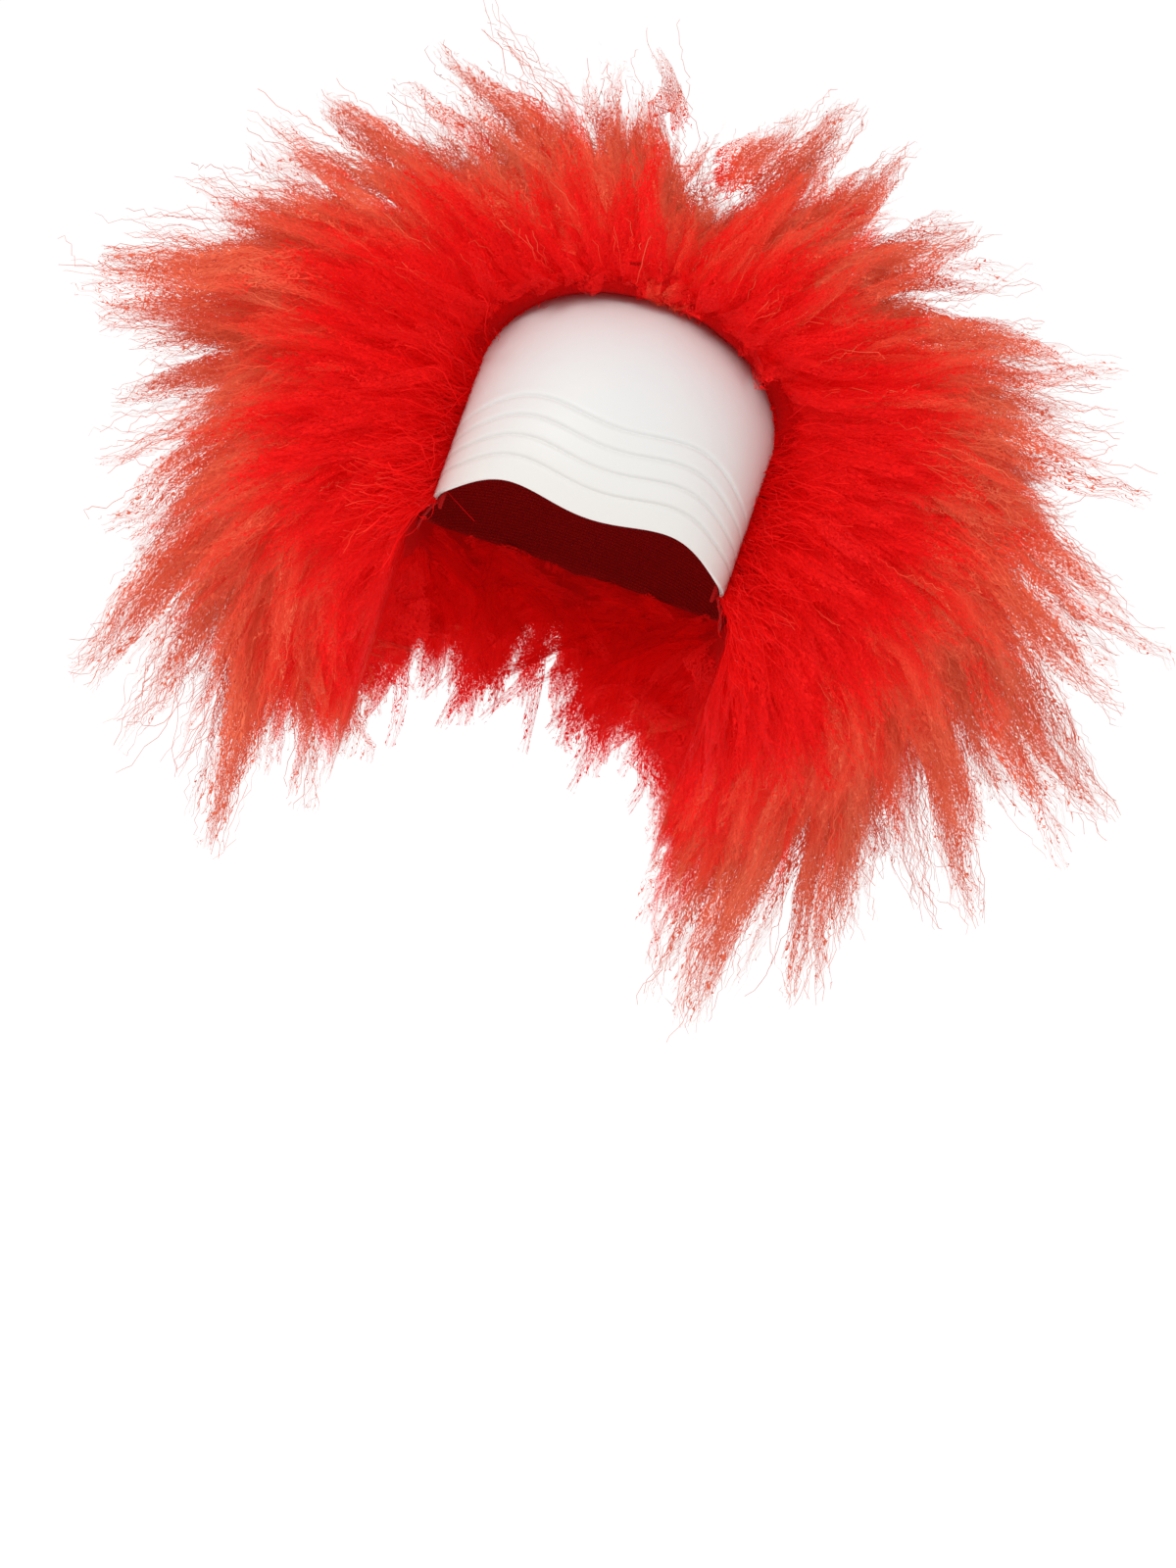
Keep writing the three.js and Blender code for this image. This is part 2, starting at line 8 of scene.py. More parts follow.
import bpy
import numpy as np
from mathutils import Matrix, Vector
from mathutils.kdtree import KDTree


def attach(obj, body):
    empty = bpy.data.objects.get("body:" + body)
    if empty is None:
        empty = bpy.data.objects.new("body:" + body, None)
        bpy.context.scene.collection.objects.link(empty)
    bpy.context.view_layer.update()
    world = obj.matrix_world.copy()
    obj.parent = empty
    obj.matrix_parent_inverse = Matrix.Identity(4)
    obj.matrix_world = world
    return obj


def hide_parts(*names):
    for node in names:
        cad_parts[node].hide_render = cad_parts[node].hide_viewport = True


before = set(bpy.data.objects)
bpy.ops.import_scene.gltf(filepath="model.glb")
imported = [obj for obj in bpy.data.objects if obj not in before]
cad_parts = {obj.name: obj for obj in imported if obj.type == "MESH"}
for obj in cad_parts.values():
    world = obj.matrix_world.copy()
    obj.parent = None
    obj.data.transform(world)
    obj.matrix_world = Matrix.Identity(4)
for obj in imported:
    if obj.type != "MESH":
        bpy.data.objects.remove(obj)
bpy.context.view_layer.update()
MM = 0.001

# Sizes of the part
BROW_REACH = 98.0
CROWN_HEIGHT = 79.0
FOREHEAD_WIDTH = 130.0
FOREHEAD_WALL = 2.0
TEMPLE = (-62.0, -20.0)
CROWN_RIM = (0.0, 79.0)
SHOULDER_SHARE = 0.53
BROW_LIFT = 6.5
BROW_DROP = 4.0
WRINKLE_HEIGHTS = (12.0, 21.8, 31.6, 41.4)
WRINKLE_DEPTH = 1.0
WRINKLE_SPREAD = 0.85
CLEARANCE = 0.3
CAP_WALL = 1.5
LAP_DEPTH = 9.0
LAP_TURN = 0.13
LAP_SHARE = 0.1
CAP_WIDTH = 156.0
CAP_BACK = 96.0
CAP_TOP = 78.0
CAP_DEPTH = 104.0
CAP_ROUND = 2.3
NAPE_DROP = 84.0
EAR_DROP = 42.0
HEM_TURN = 121
HEM_PACE = 1.15
HEM_RISE = 0.9
HAIR_REACH = 250.0
HAIR_BACK = 196.0
FACE_HALF = 73.0
NECK_BACK = 72.0
CROWN_SHARE = 0.84
BACK_SHARE = 0.36

# The hair's front edge: clock from the top, and degrees from straight ahead where the hair begins
HAIR_FRONT = np.array([
    (-180, 120), (-160, 104), (-143, 80), (-124, 60), (-107, 49), (-85, 57), (-62, 68), (-30, 84),
    (0, 91), (30, 84), (62, 68), (85, 57), (107, 49), (124, 60), (143, 80), (160, 104), (180, 120),
])  # fmt: skip

# The locks of the outline: clock of the tip, reach, sag from the root's clock, and width
OUTLINE_LOCKS = np.array([
    (-158, 0.82, -26, 0.55), (-152, 0.98, -26, 0.70), (-140, 0.97, -20, 0.85),
    (-130, 1.00, -14, 0.90), (-119, 0.84, -8, 0.85), (-107, 0.86, -6, 0.95),
    (-98, 0.80, -5, 0.80), (-88, 0.98, -4, 1.00), (-79, 0.90, -2, 0.90),
    (-69, 0.76, -2, 0.80), (-61, 0.84, -3, 0.95), (-48, 0.68, -4, 0.85),
    (-40, 0.77, -18, 0.90), (-28, 0.66, -6, 0.80), (-17, 0.77, -4, 0.85),
    (-4, 0.60, 0, 0.90), (8, 0.56, 3, 0.75), (18, 0.74, 4, 0.85),
    (34, 0.80, 12, 0.95), (46, 0.68, 6, 0.80), (54, 0.77, 4, 0.90),
    (65, 0.87, 6, 0.95), (74, 0.90, 8, 0.90), (89, 0.97, 16, 1.05),
    (99, 0.82, 12, 0.90), (108, 1.02, 12, 1.00), (117, 0.88, 12, 0.90),
    (125, 0.95, 12, 1.00), (134, 0.88, 18, 0.90), (143, 0.98, 24, 1.00),
    (153, 1.00, 30, 0.80),
])  # fmt: skip
OUTLINE_POLAR = (84.0, 88.0, 94.0)

# Rings of locks before and behind the outline: share of the way back, last clock, reach, lean,
# how many, and width
LOCK_RINGS = (
    (0.12, 146, 0.70, 4, 16, 0.80),
    (0.25, 104, 0.88, 4, 12, 0.95),
    (0.42, 168, 0.93, 7, 17, 1.05),
    (0.60, 180, 0.96, 9, 15, 1.15),
    (0.76, 180, 0.97, 10, 12, 1.20),
    (0.90, 180, 0.97, 9, 7, 1.25),
    (0.99, 0, 1.00, 6, 1, 1.20),
)
LOCK_WIDTH = 58.0
ROOT_SHARE = 0.76  # how far round from the top, of a lock's way, its strands start
TONES = 32  # tones of the single fibres, side by side in their UV map
BANDS = 8  # patterns of fibres in the strips' UV map
BACK_DROOP = np.array((0.05, 0.0, -0.14))

SECTION_NAMES = ("hair_crown", "hair_left", "hair_right", "hair_back")

rng = np.random.default_rng(20)


# Small helpers
def lerp(a, b, t):
    return a + (b - a) * t


def smooth(x, a, b):
    t = np.clip((x - a) / (b - a), 0, 1)
    return t * t * (3 - 2 * t)


def unit(v):
    return v / np.maximum(np.linalg.norm(v, axis=-1, keepdims=True), 1e-9)


def join(*parts):
    return np.stack(np.broadcast_arrays(*parts), axis=-1)


def towards(clock, polar):
    """Direction from the head's centre: clock from the top, polar from straight ahead."""
    c, p = np.radians(clock), np.radians(polar)
    return join(np.sin(p) * np.sin(c), -np.cos(p), np.sin(p) * np.cos(c))


def deselect():
    bpy.ops.object.select_all(action="DESELECT")


def use(piece):
    deselect()
    piece.select_set(True)
    bpy.context.view_layer.objects.active = piece


def modify(piece, kind, **settings):
    """Adds a modifier and applies it."""
    use(piece)
    added = piece.modifiers.new(kind.title(), kind)
    for key, value in settings.items():
        setattr(added, key, value)
    bpy.ops.object.modifier_apply(modifier=added.name)


def in_edit(piece, *steps):
    """Runs edit-mode steps on all of a piece."""
    use(piece)
    bpy.ops.object.mode_set(mode="EDIT")
    bpy.ops.mesh.select_all(action="SELECT")
    for step in steps:
        step()
    bpy.ops.object.mode_set(mode="OBJECT")


def read_points(piece):
    flat = np.empty(len(piece.data.vertices) * 3)
    piece.data.vertices.foreach_get("co", flat)
    return flat.reshape(-1, 3)


def write_points(piece, points):
    piece.data.vertices.foreach_set("co", np.ascontiguousarray(points).ravel())
    piece.data.update()


def dress(piece, material, slot=None, *nodes):
    """Gives a piece its material and its body, and hides the imported parts that it replaces."""
    piece.data.materials.clear()
    piece.data.materials.append(material)
    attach(piece, "root")
    if nodes:
        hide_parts(*nodes)
    return piece


CRIMPS = 3.4  # slow waves along a strip's length, with finer ones in them
CRIMP_SIZE = 1.5  # how far they move a fibre, in strips' widths
FIBRE_HALF = 0.22  # half a fibre's width where its strip starts, of the lane that it has
MASS_THINNING, TIP_THINNING = 0.11, 0.155  # how much of that is gone at the strip's end
PAINTED_GLOW = 0.24  # painted glow: emission of the fibres' own colour, standing in for the light that passes through fibres into the shade between them
TOP_PAINTED_LIGHT = 0.42  # painted light on the top of the hair: how far the paler colours reach inwards there

# Hair colours from the head outwards, of the darkest and the lightest fibres: the darker red nearest the
# head is painted shade, the red turning orange outwards is the fibres' own colour
HAIR_DARK = (
    (0.0, (0.48, 0.0002, 0.0004)), (0.32, (0.62, 0.002, 0.002)),
    (0.56, (0.55, 0.052, 0.024)), (1.0, (0.44, 0.062, 0.028)),
)  # fmt: skip
HAIR_LIGHT = (
    (0.0, (0.66, 0.0005, 0.001)), (0.32, (0.80, 0.007, 0.006)),
    (0.56, (0.72, 0.120, 0.058)), (1.0, (0.66, 0.155, 0.085)),
)  # fmt: skip


# Materials
class Value:
    """A socket of a material. Sums written with it add Math nodes."""

    def __init__(self, paint, socket):
        self.paint = paint
        self.socket = socket

    def _sum(self, operation, *values):
        return self.paint.node("ShaderNodeMath", {"operation": operation}, dict(enumerate(values)))

    def __add__(self, other):
        return self._sum("ADD", self, other)

    def __sub__(self, other):
        return self._sum("SUBTRACT", self, other)

    def __mul__(self, other):
        return self._sum("MULTIPLY", self, other)

    def __rsub__(self, other):
        return self._sum("SUBTRACT", other, self)

    __radd__ = __add__
    __rmul__ = __mul__


class Paint:
    """A material, its nodes and its surface shader."""

    def __init__(self, name):
        self.material = bpy.data.materials.new(name)
        self.material.use_nodes = True
        self.tree = self.material.node_tree
        self.shader = self.tree.nodes["Principled BSDF"]

    def node(self, kind, settings=None, sockets=None, output=0):
        """Adds a node with its settings and its sockets' values or links."""
        added = self.tree.nodes.new(kind)
        for key, value in (settings or {}).items():
            if key == "stops":
                self._set_stops(added.color_ramp, value)
            else:
                setattr(added, key, value)
        for key, value in (sockets or {}).items():
            self._fill(added.inputs[key], value)
        return Value(self, added.outputs[output])

    def _set_stops(self, ramp, stops):
        while len(ramp.elements) < len(stops):
            ramp.elements.new(0.5)
        for element, (place, colour) in zip(ramp.elements, stops):
            element.position = place
            element.color = (*colour, 1)

    def _fill(self, socket, value):
        if isinstance(value, Value):
            self.tree.links.new(value.socket, socket)
        elif socket.type == "RGBA" and len(value) == 3:
            socket.default_value = (*value, 1)
        else:
            socket.default_value = value

    def surface(self, **sockets):
        """Fills the shader's sockets, named with _ for a space."""
        for key, value in sockets.items():
            self._fill(self.shader.inputs[key.replace("_", " ")], value)

    def mix(self, factor, first, second, blend="MIX"):
        settings = {"data_type": "RGBA", "blend_type": blend}
        return self.node("ShaderNodeMix", settings, {0: factor, 6: first, 7: second}, 2)

    def place(self):
        return self.node("ShaderNodeTexCoord", output="Object")

    def noise(self, vector, scale, detail=3.0, roughness=0.55):
        sockets = {"Vector": vector, "Scale": scale, "Detail": detail, "Roughness": roughness}
        return self.node("ShaderNodeTexNoise", None, sockets)

    def bump(self, height, strength, distance):
        sockets = {"Height": height, "Strength": strength, "Distance": distance}
        return self.node("ShaderNodeBump", None, sockets)

    def spread(self, value, low, high):
        """A value's range from low to high stretched to 0 to 1."""
        return self.node("ShaderNodeMapRange", None, {0: value, 1: low, 2: high})


def latex_white():
    """Matt moulded latex: warm by the brow as painted bounce light, cooler above, with a very fine skin
    texture.
    """
    paint = Paint("latex_white")
    place = paint.place()
    clouds = paint.spread(paint.noise(place, 14.0, 2.0), 0.35, 0.65)
    height = paint.node("ShaderNodeSeparateXYZ", None, {0: place}, 2)
    up = paint.spread(height, -0.02, 0.06)
    # Warmer colours towards the brow: painted warm bounce light
    warm = paint.mix(clouds, (0.71, 0.68, 0.64), (0.73, 0.70, 0.66))
    cool = paint.mix(clouds, (0.70, 0.695, 0.685), (0.685, 0.685, 0.68))
    skin = paint.noise(place, 900.0, 2.0)
    soft = paint.noise(place, 120.0, 3.0)
    paint.surface(
        Base_Color=paint.mix(up, warm, cool),
        Roughness=paint.spread(soft, 0.0, 1.0) * 0.14 + 0.42,
        Specular_IOR_Level=0.35,
        Normal=paint.bump(skin * 0.25 + soft, 0.25, 0.0006),
    )
    return paint.material


def net_red():
    """Dark red stretch net, with fine ribs across it."""
    paint = Paint("net_red")
    place = paint.place()
    threads = paint.node(
        "ShaderNodeTexWave",
        {"bands_direction": "Z"},
        {"Vector": place, "Scale": 260.0, "Distortion": 1.5, "Detail": 1.0},
        1,
    )
    cross = paint.node(
        "ShaderNodeTexWave",
        {"bands_direction": "X"},
        {"Vector": place, "Scale": 260.0, "Distortion": 1.5, "Detail": 1.0},
        1,
    )
    weave = threads * cross
    patches = paint.spread(paint.noise(place, 30.0), 0.3, 0.7)
    light = paint.mix(patches, (0.38, 0.005, 0.005), (0.44, 0.007, 0.006))
    paint.surface(
        Base_Color=paint.mix(weave, (0.28, 0.003, 0.003), light),
        Roughness=0.85,
        Specular_IOR_Level=0.1,
        Normal=paint.bump(weave, 0.6, 0.0004),
    )
    return paint.material


def hair_single():
    """One red fibre, deep red near the head and paler at the tip. Its UV map is u, one of the TONES
    across the map, and v, its place from the head to the tip of its lock."""
    paint = Paint("hair_single")
    spots = paint.node("ShaderNodeUVMap", {"uv_map": "OFBake"})
    across = paint.node("ShaderNodeSeparateXYZ", None, {0: spots}, 0)
    outward = paint.node("ShaderNodeSeparateXYZ", None, {0: spots}, 1)
    number = paint.node("ShaderNodeMath", {"operation": "FLOOR"}, {0: across * TONES})
    tone = paint.node("ShaderNodeTexWhiteNoise", {"noise_dimensions": "1D"}, {"W": number})
    dark = paint.node("ShaderNodeValToRGB", {"stops": HAIR_DARK}, {0: outward})
    light = paint.node("ShaderNodeValToRGB", {"stops": HAIR_LIGHT}, {0: outward})
    colour = paint.mix(tone, dark, light)
    paint.surface(Base_Color=colour, Roughness=0.6, Specular_IOR_Level=0.1)
    # The emission is a painted glow for the light that passes through the fibres
    paint.surface(Emission_Color=colour, Emission_Strength=PAINTED_GLOW)
    return paint.material


def frizz(paint, spots, across, along, lanes, number, thinning):
    """Crimped fibres side by side in lanes, thinner along the strip: which one is here, and 1 where it
    shows. The number sets one layer of fibres off from another."""
    scale, layer = (BANDS * 0.8, CRIMPS, 0), (0, 0, number * 9.0)
    moved = paint.node("ShaderNodeVectorMath", {"operation": "MULTIPLY"}, {0: spots, 1: scale})
    moved = paint.node("ShaderNodeVectorMath", {"operation": "ADD"}, {0: moved, 1: layer})
    crimp = (paint.noise(moved, 1.0, 3.5, 0.72) - 0.5) * (lanes * CRIMP_SIZE)
    lane = across * (BANDS * lanes) + crimp
    fibre = paint.node("ShaderNodeMath", {"operation": "FLOOR"}, {0: lane})
    off = paint.node("ShaderNodeMath", {"operation": "FRACT"}, {0: lane}) - 0.5
    off = paint.node("ShaderNodeMath", {"operation": "ABSOLUTE"}, {0: off})
    own = paint.node("ShaderNodeTexWhiteNoise", {"noise_dimensions": "1D"}, {"W": fibre + 0.5})
    half = FIBRE_HALF - along * thinning
    shown = paint.node("ShaderNodeMath", {"operation": "LESS_THAN"}, {0: off, 1: half})
    ends = paint.node("ShaderNodeMath", {"operation": "LESS_THAN"}, {0: along, 1: own * 0.55 + 0.52})
    starts = paint.node("ShaderNodeMath", {"operation": "GREATER_THAN"}, {0: along, 1: own * 0.3 - 0.04})
    return fibre, shown * ends * starts


def hair_fluff(name, first, last):
    """A wide strip of many crimped fibres that cross, with clear gaps between them. Its UV map is u,
    one of the BANDS of patterns, and v, the share of its length. Its colour runs along it, from
    first to last of the way from the head to the tips, or with None outwards over the bands."""
    paint = Paint(name)
    spots = paint.node("ShaderNodeUVMap", {"uv_map": "OFBake"})
    across = paint.node("ShaderNodeSeparateXYZ", None, {0: spots}, 0)
    along = paint.node("ShaderNodeSeparateXYZ", None, {0: spots}, 1)
    thinning = MASS_THINNING if first is None else TIP_THINNING
    fibre, shown = frizz(paint, spots, across, along, 12, 0, thinning)
    other, also = frizz(paint, spots, across, along, 10, 1, thinning)
    which = shown * fibre + (1 - shown) * (other + 100)
    tone = paint.node("ShaderNodeTexWhiteNoise", {"noise_dimensions": "1D"}, {"W": which})
    if first is None:
        outward = across + along * 0.12
    else:
        outward = along * (last - first) + first
    dark = paint.node("ShaderNodeValToRGB", {"stops": HAIR_DARK}, {0: outward})
    light = paint.node("ShaderNodeValToRGB", {"stops": HAIR_LIGHT}, {0: outward})
    colour = paint.mix(tone, dark, light)
    paint.surface(
        Base_Color=colour,
        Roughness=0.6,
        Specular_IOR_Level=0.1,
        # the emission is a painted glow for the light that passes through the fibres
        Emission_Color=colour,
        Emission_Strength=PAINTED_GLOW,
        Alpha=paint.node("ShaderNodeMath", {"operation": "MAXIMUM"}, {0: shown, 1: also}),
    )
    return paint.material


def hair_deep():
    """The hair's inner mass: crimped fibres that run outwards from the head, with painted shade between
    them.
    """
    paint = Paint("hair_deep")
    place = paint.place()
    way = paint.node("ShaderNodeVectorMath", {"operation": "NORMALIZE"}, {0: place})
    curls = paint.node("ShaderNodeTexNoise", None, {"Vector": place, "Scale": 170.0, "Detail": 2.0}, 1)
    bent = paint.node("ShaderNodeVectorMath", {"operation": "SCALE"}, {0: curls, "Scale": 0.012})
    bent = paint.node("ShaderNodeVectorMath", {"operation": "ADD"}, {0: way, 1: bent})
    fibres = paint.noise(bent, 330.0, 2.0, 0.6)
    tufts = paint.noise(place, 45.0, 3.0)
    raised = paint.spread(fibres * 0.7 + tufts * 0.3, 0.35, 0.65)
    far = paint.node("ShaderNodeVectorMath", {"operation": "LENGTH"}, {0: place}, 1)
    height = paint.node("ShaderNodeSeparateXYZ", None, {0: place}, 2)
    # Paler towards the top of the hair: painted light from above
    outward = paint.spread(far, 0.09, 0.24) + paint.spread(height, 0.07, 0.15) * TOP_PAINTED_LIGHT
    dark = paint.node("ShaderNodeValToRGB", {"stops": HAIR_DARK}, {0: outward})
    light = paint.node("ShaderNodeValToRGB", {"stops": HAIR_LIGHT}, {0: outward})
    # Darker colour in the gaps between the fibres: painted shade
    colour = paint.mix(raised, dark, light)
    paint.surface(
        Base_Color=colour,
        Roughness=0.7,
        Specular_IOR_Level=0.08,
        # the emission is a painted glow for the light that passes through the fibres
        Emission_Color=colour,
        Emission_Strength=PAINTED_GLOW,
        Normal=paint.bump(raised, 0.8, 0.002),
    )
    return paint.material


# The forehead's surface
EDGE_TURN = math.radians(86)
PROFILE_Y, PROFILE_Z = -8.0, -5.0
RADIUS_Y = BROW_REACH + PROFILE_Y
RADIUS_Z = CROWN_HEIGHT - PROFILE_Z
LOWEST_RISE = math.asin(-PROFILE_Z / RADIUS_Z)
HIGHEST_RISE = math.pi - math.acos((CROWN_RIM[0] - PROFILE_Y) / RADIUS_Y)
RIM_LENGTH = math.hypot(CROWN_RIM[0] - TEMPLE[0], CROWN_RIM[1] - TEMPLE[1])
RIM_SLOPE = ((CROWN_RIM[0] - TEMPLE[0]) / RIM_LENGTH, (CROWN_RIM[1] - TEMPLE[1]) / RIM_LENGTH)


def forehead_at(turn, rise):
    """Point at a turn from -1 to 1 across the forehead and a rise angle over it."""
    share = (rise - LOWEST_RISE) / (HIGHEST_RISE - LOWEST_RISE)
    up = share * SHOULDER_SHARE * RIM_LENGTH
    side_y, side_z = TEMPLE[0] + RIM_SLOPE[0] * up, TEMPLE[1] + RIM_SLOPE[1] * up
    middle_y = PROFILE_Y - RADIUS_Y * np.cos(rise)
    middle_z = PROFILE_Z + RADIUS_Z * np.sin(rise)
    bow = np.cos(turn * EDGE_TURN)
    across = FOREHEAD_WIDTH / 2 * np.sin(turn * EDGE_TURN) / math.sin(EDGE_TURN)
    return join(across, lerp(side_y, middle_y, bow), lerp(side_z, middle_z, bow))


def brow_wave(turn):
    arches = np.minimum(1, np.abs(turn) * 1.2)
    return BROW_LIFT * np.sin(np.pi * arches) ** 2 - BROW_DROP * turn**8


def rise_above(turn, distance):
    """Rise angle at a distance above the brow edge."""
    radius = lerp(58.0, RADIUS_Z + 3, np.cos(turn * EDGE_TURN))
    return LOWEST_RISE + (brow_wave(turn) + distance) / radius


def offset(surface, distance):
    """A surface moved along its own normals."""

    def moved(a, b):
        step = 1e-3
        over_a = surface(a + step, b) - surface(a - step, b)
        over_b = surface(a, b + step) - surface(a, b - step)
        at = surface(a, b)
        normal = unit(np.cross(over_b, over_a))
        normal *= np.where(np.sum(normal * at, axis=-1, keepdims=True) < 0, -1, 1)
        return at + normal * distance

    return moved


SMOOTH_FROM = WRINKLE_HEIGHTS[-1] + 6.4


def forehead_rows():
    """Heights above the brow up to SMOOTH_FROM, close together at each wrinkle, then shares above."""
    near = (-3.2, -2.2, -1.5, -1.0, -0.6, -0.2, 0.2, 0.6, 1.0, 1.5, 2.2, 3.2)
    heights = [0.0, 1.5, 3.0, 5.0, 7.0]
    for wrinkle in WRINKLE_HEIGHTS:
        heights += [wrinkle + n for n in near]
        heights.append(wrinkle + 4.9)
    heights = [h for h in heights if h < SMOOTH_FROM - 0.5]
    return np.array(heights + [SMOOTH_FROM] + [SMOOTH_FROM + i / 40 * 100 for i in range(1, 41)])


def row_rise(turn, row):
    """Rise at a row's value: a height, or past SMOOTH_FROM a share of the rest in hundredths."""
    low = rise_above(turn, np.minimum(row, SMOOTH_FROM))
    share = np.clip((row - SMOOTH_FROM) / 100, 0, 1)
    return lerp(low, HIGHEST_RISE, share)


def wrinkled(turn, row):
    """The outer face with its wrinkles pressed in, fading out towards the temples."""
    depth = sum(np.exp(-(((row - h) / WRINKLE_SPREAD) ** 2)) for h in WRINKLE_HEIGHTS)
    swell = sum(np.exp(-(((row - h - 3.0) / 2.2) ** 2)) for h in WRINKLE_HEIGHTS)
    face = offset(forehead_at, 0.0)
    rise = row_rise(turn, row)
    at = face(turn, rise)
    out = offset(forehead_at, 1.0)(turn, rise) - at
    fade = 1 - 0.5 * smooth(np.abs(turn), 0.75, 1.0)
    return at + out * ((0.15 * swell - WRINKLE_DEPTH * depth) * fade)[..., None]


def sheet(name, surface, across, along):
    """A grid laid on a surface, its normals outwards."""
    deselect()
    bpy.ops.mesh.primitive_grid_add(x_subdivisions=len(across) - 1, y_subdivisions=len(along) - 1)
    piece = bpy.context.object
    piece.name = name
    flat = read_points(piece)
    half = flat[:, 0].max()
    column = np.rint((flat[:, 0] / half + 1) / 2 * (len(across) - 1)).astype(int)
    row = np.rint((flat[:, 1] / half + 1) / 2 * (len(along) - 1)).astype(int)
    write_points(piece, surface(np.asarray(across)[column], np.asarray(along)[row]) * MM)
    middle = piece.data.polygons[len(piece.data.polygons) // 2]
    if middle.normal.dot(middle.center) < 0:
        in_edit(piece, bpy.ops.mesh.flip_normals)
    return piece


def make_forehead():
    piece = sheet("forehead_shell", wrinkled, np.linspace(-1, 1, 111), forehead_rows())
    modify(piece, "SOLIDIFY", thickness=FOREHEAD_WALL * MM, offset=-1)
    modify(piece, "BEVEL", width=0.45 * MM, segments=2, limit_method="ANGLE", angle_limit=1.0)
    use(piece)
    bpy.ops.object.shade_smooth_by_angle(angle=math.radians(50))
    return dress(piece, latex_white(), "shell_white", "forehead")


# The cap
def rim_turn(k):
    return np.clip(k / 0.6, -1, 1)


def rim_rise(k):
    down = np.maximum(0, (np.abs(k) - 0.6) / 0.4)
    return lerp(HIGHEST_RISE, rise_above(1.0, 0.0), down)


def cap_lap(k, lap):
    turn = rim_turn(k)
    sideways = smooth(np.abs(turn), 0.6, 1)
    inner = offset(forehead_at, -(FOREHEAD_WALL + CLEARANCE))
    return inner(turn * (1 - lap * sideways * LAP_TURN), rim_rise(k) - lap * LAP_DEPTH / (CROWN_HEIGHT + 8))


def cap_radius(way):
    """How far the cap stands from the head's centre in a direction."""
    narrow = 1 + 0.13 * way[..., 1]
    down = np.where(way[..., 2] < 0, CAP_DEPTH, CAP_TOP)
    total = (
        (np.abs(way[..., 0]) / (CAP_WIDTH / 2 * narrow)) ** CAP_ROUND
        + (np.abs(way[..., 1]) / CAP_BACK) ** CAP_ROUND
        + (np.abs(way[..., 2]) / down) ** CAP_ROUND
    )
    return total ** (-1 / CAP_ROUND)


def below_hem(way):
    """Whether a direction passes below the cap's hem."""
    side = np.degrees(np.arctan2(np.abs(way[..., 0]), -way[..., 1]))
    k = (np.clip(180 - side, 0, HEM_TURN) / HEM_TURN) ** (1 / HEM_PACE)
    wide = lerp(CAP_BACK, CAP_WIDTH / 2, np.sin(np.radians(side)))
    slope = lerp(NAPE_DROP, EAR_DROP, k**HEM_RISE) / wide
    return -way[..., 2] > slope * np.hypot(way[..., 0], way[..., 1])


def hem_way(k):
    """Direction of the cap's hem, k from the nape at 0 to its front ends at -1 and 1."""
    side = np.where(k < 0, -1, 1)
    azimuth = np.radians(180 - HEM_TURN * np.abs(k) ** HEM_PACE) * side
    drop = lerp(NAPE_DROP, EAR_DROP, np.abs(k) ** HEM_RISE)
    wide = lerp(CAP_BACK, CAP_WIDTH / 2, np.abs(np.sin(azimuth)))
    return unit(join(np.sin(azimuth) * wide, -np.cos(azimuth) * wide, -drop))


def cap_at(k, share):
    """Point on the cap's outer face, from the lap under the rim to the hem at share 1."""
    front = cap_lap(k, 0.0 * k)
    start, end = unit(front), hem_way(k)
    angle = np.arccos(np.clip(np.sum(start * end, axis=-1), -1, 1))
    kept = np.maximum(share, 0)
    way = unit(start * np.sin((1 - kept) * angle)[..., None] + end * np.sin(kept * angle)[..., None])
    settled = smooth(kept * angle, 0, 0.9)
    radius = lerp(np.linalg.norm(front, axis=-1), cap_radius(way), settled)
    lap = cap_lap(k, np.clip(-share / LAP_SHARE, 0, 1))
    return np.where((share < 0)[..., None], lap, way * radius[..., None])


def make_cap():
    along = np.concatenate((np.linspace(-LAP_SHARE, -0.01, 5), np.linspace(0, 1, 50)))
    piece = sheet("cap_net", cap_at, np.linspace(-1, 1, 91), along)
    modify(piece, "SOLIDIFY", thickness=CAP_WALL * MM, offset=-1)
    modify(piece, "BEVEL", width=0.4 * MM, segments=2, limit_method="ANGLE", angle_limit=1.0)
    use(piece)
    bpy.ops.object.shade_smooth_by_angle(angle=math.radians(50))
    return dress(piece, net_red(), "cap_red", "cap")


# The hair
def front_polar(clock):
    return np.interp(clock, HAIR_FRONT[:, 0], HAIR_FRONT[:, 1])


def outline_reach(clock):
    return HAIR_REACH * np.interp(clock, OUTLINE_LOCKS[:, 0], OUTLINE_LOCKS[:, 1])


def rounded(reach, back, polar):
    """A reach at the sides rounded off to another behind."""
    p = np.radians(np.maximum(polar, 90.0))
    return 1 / np.hypot(np.sin(p) / reach, np.cos(p) / back)


def outward_place(at):
    """How far out a point is, from 0 at the cap to 1 at the locks' reach there, and more above, where paler
    colours are painted on as light on the top of the hair.
    """
    way, far = unit(at), np.linalg.norm(at, axis=-1)
    clock = np.degrees(np.arctan2(way[..., 0], way[..., 2]))
    polar = np.degrees(np.arccos(np.clip(-way[..., 1], -1, 1)))
    near = cap_radius(way)
    reach = np.maximum(rounded(outline_reach(clock), HAIR_BACK, polar) - near, 20)
    return np.clip((far - near) / reach, 0, 1) + TOP_PAINTED_LIGHT * smooth(at[..., 2], 60, 150)


def outline_polar(clock):
    height = np.cos(np.radians(clock))
    top, side, bottom = OUTLINE_POLAR
    return np.where(height > 0, lerp(side, top, height), lerp(side, bottom, -height))


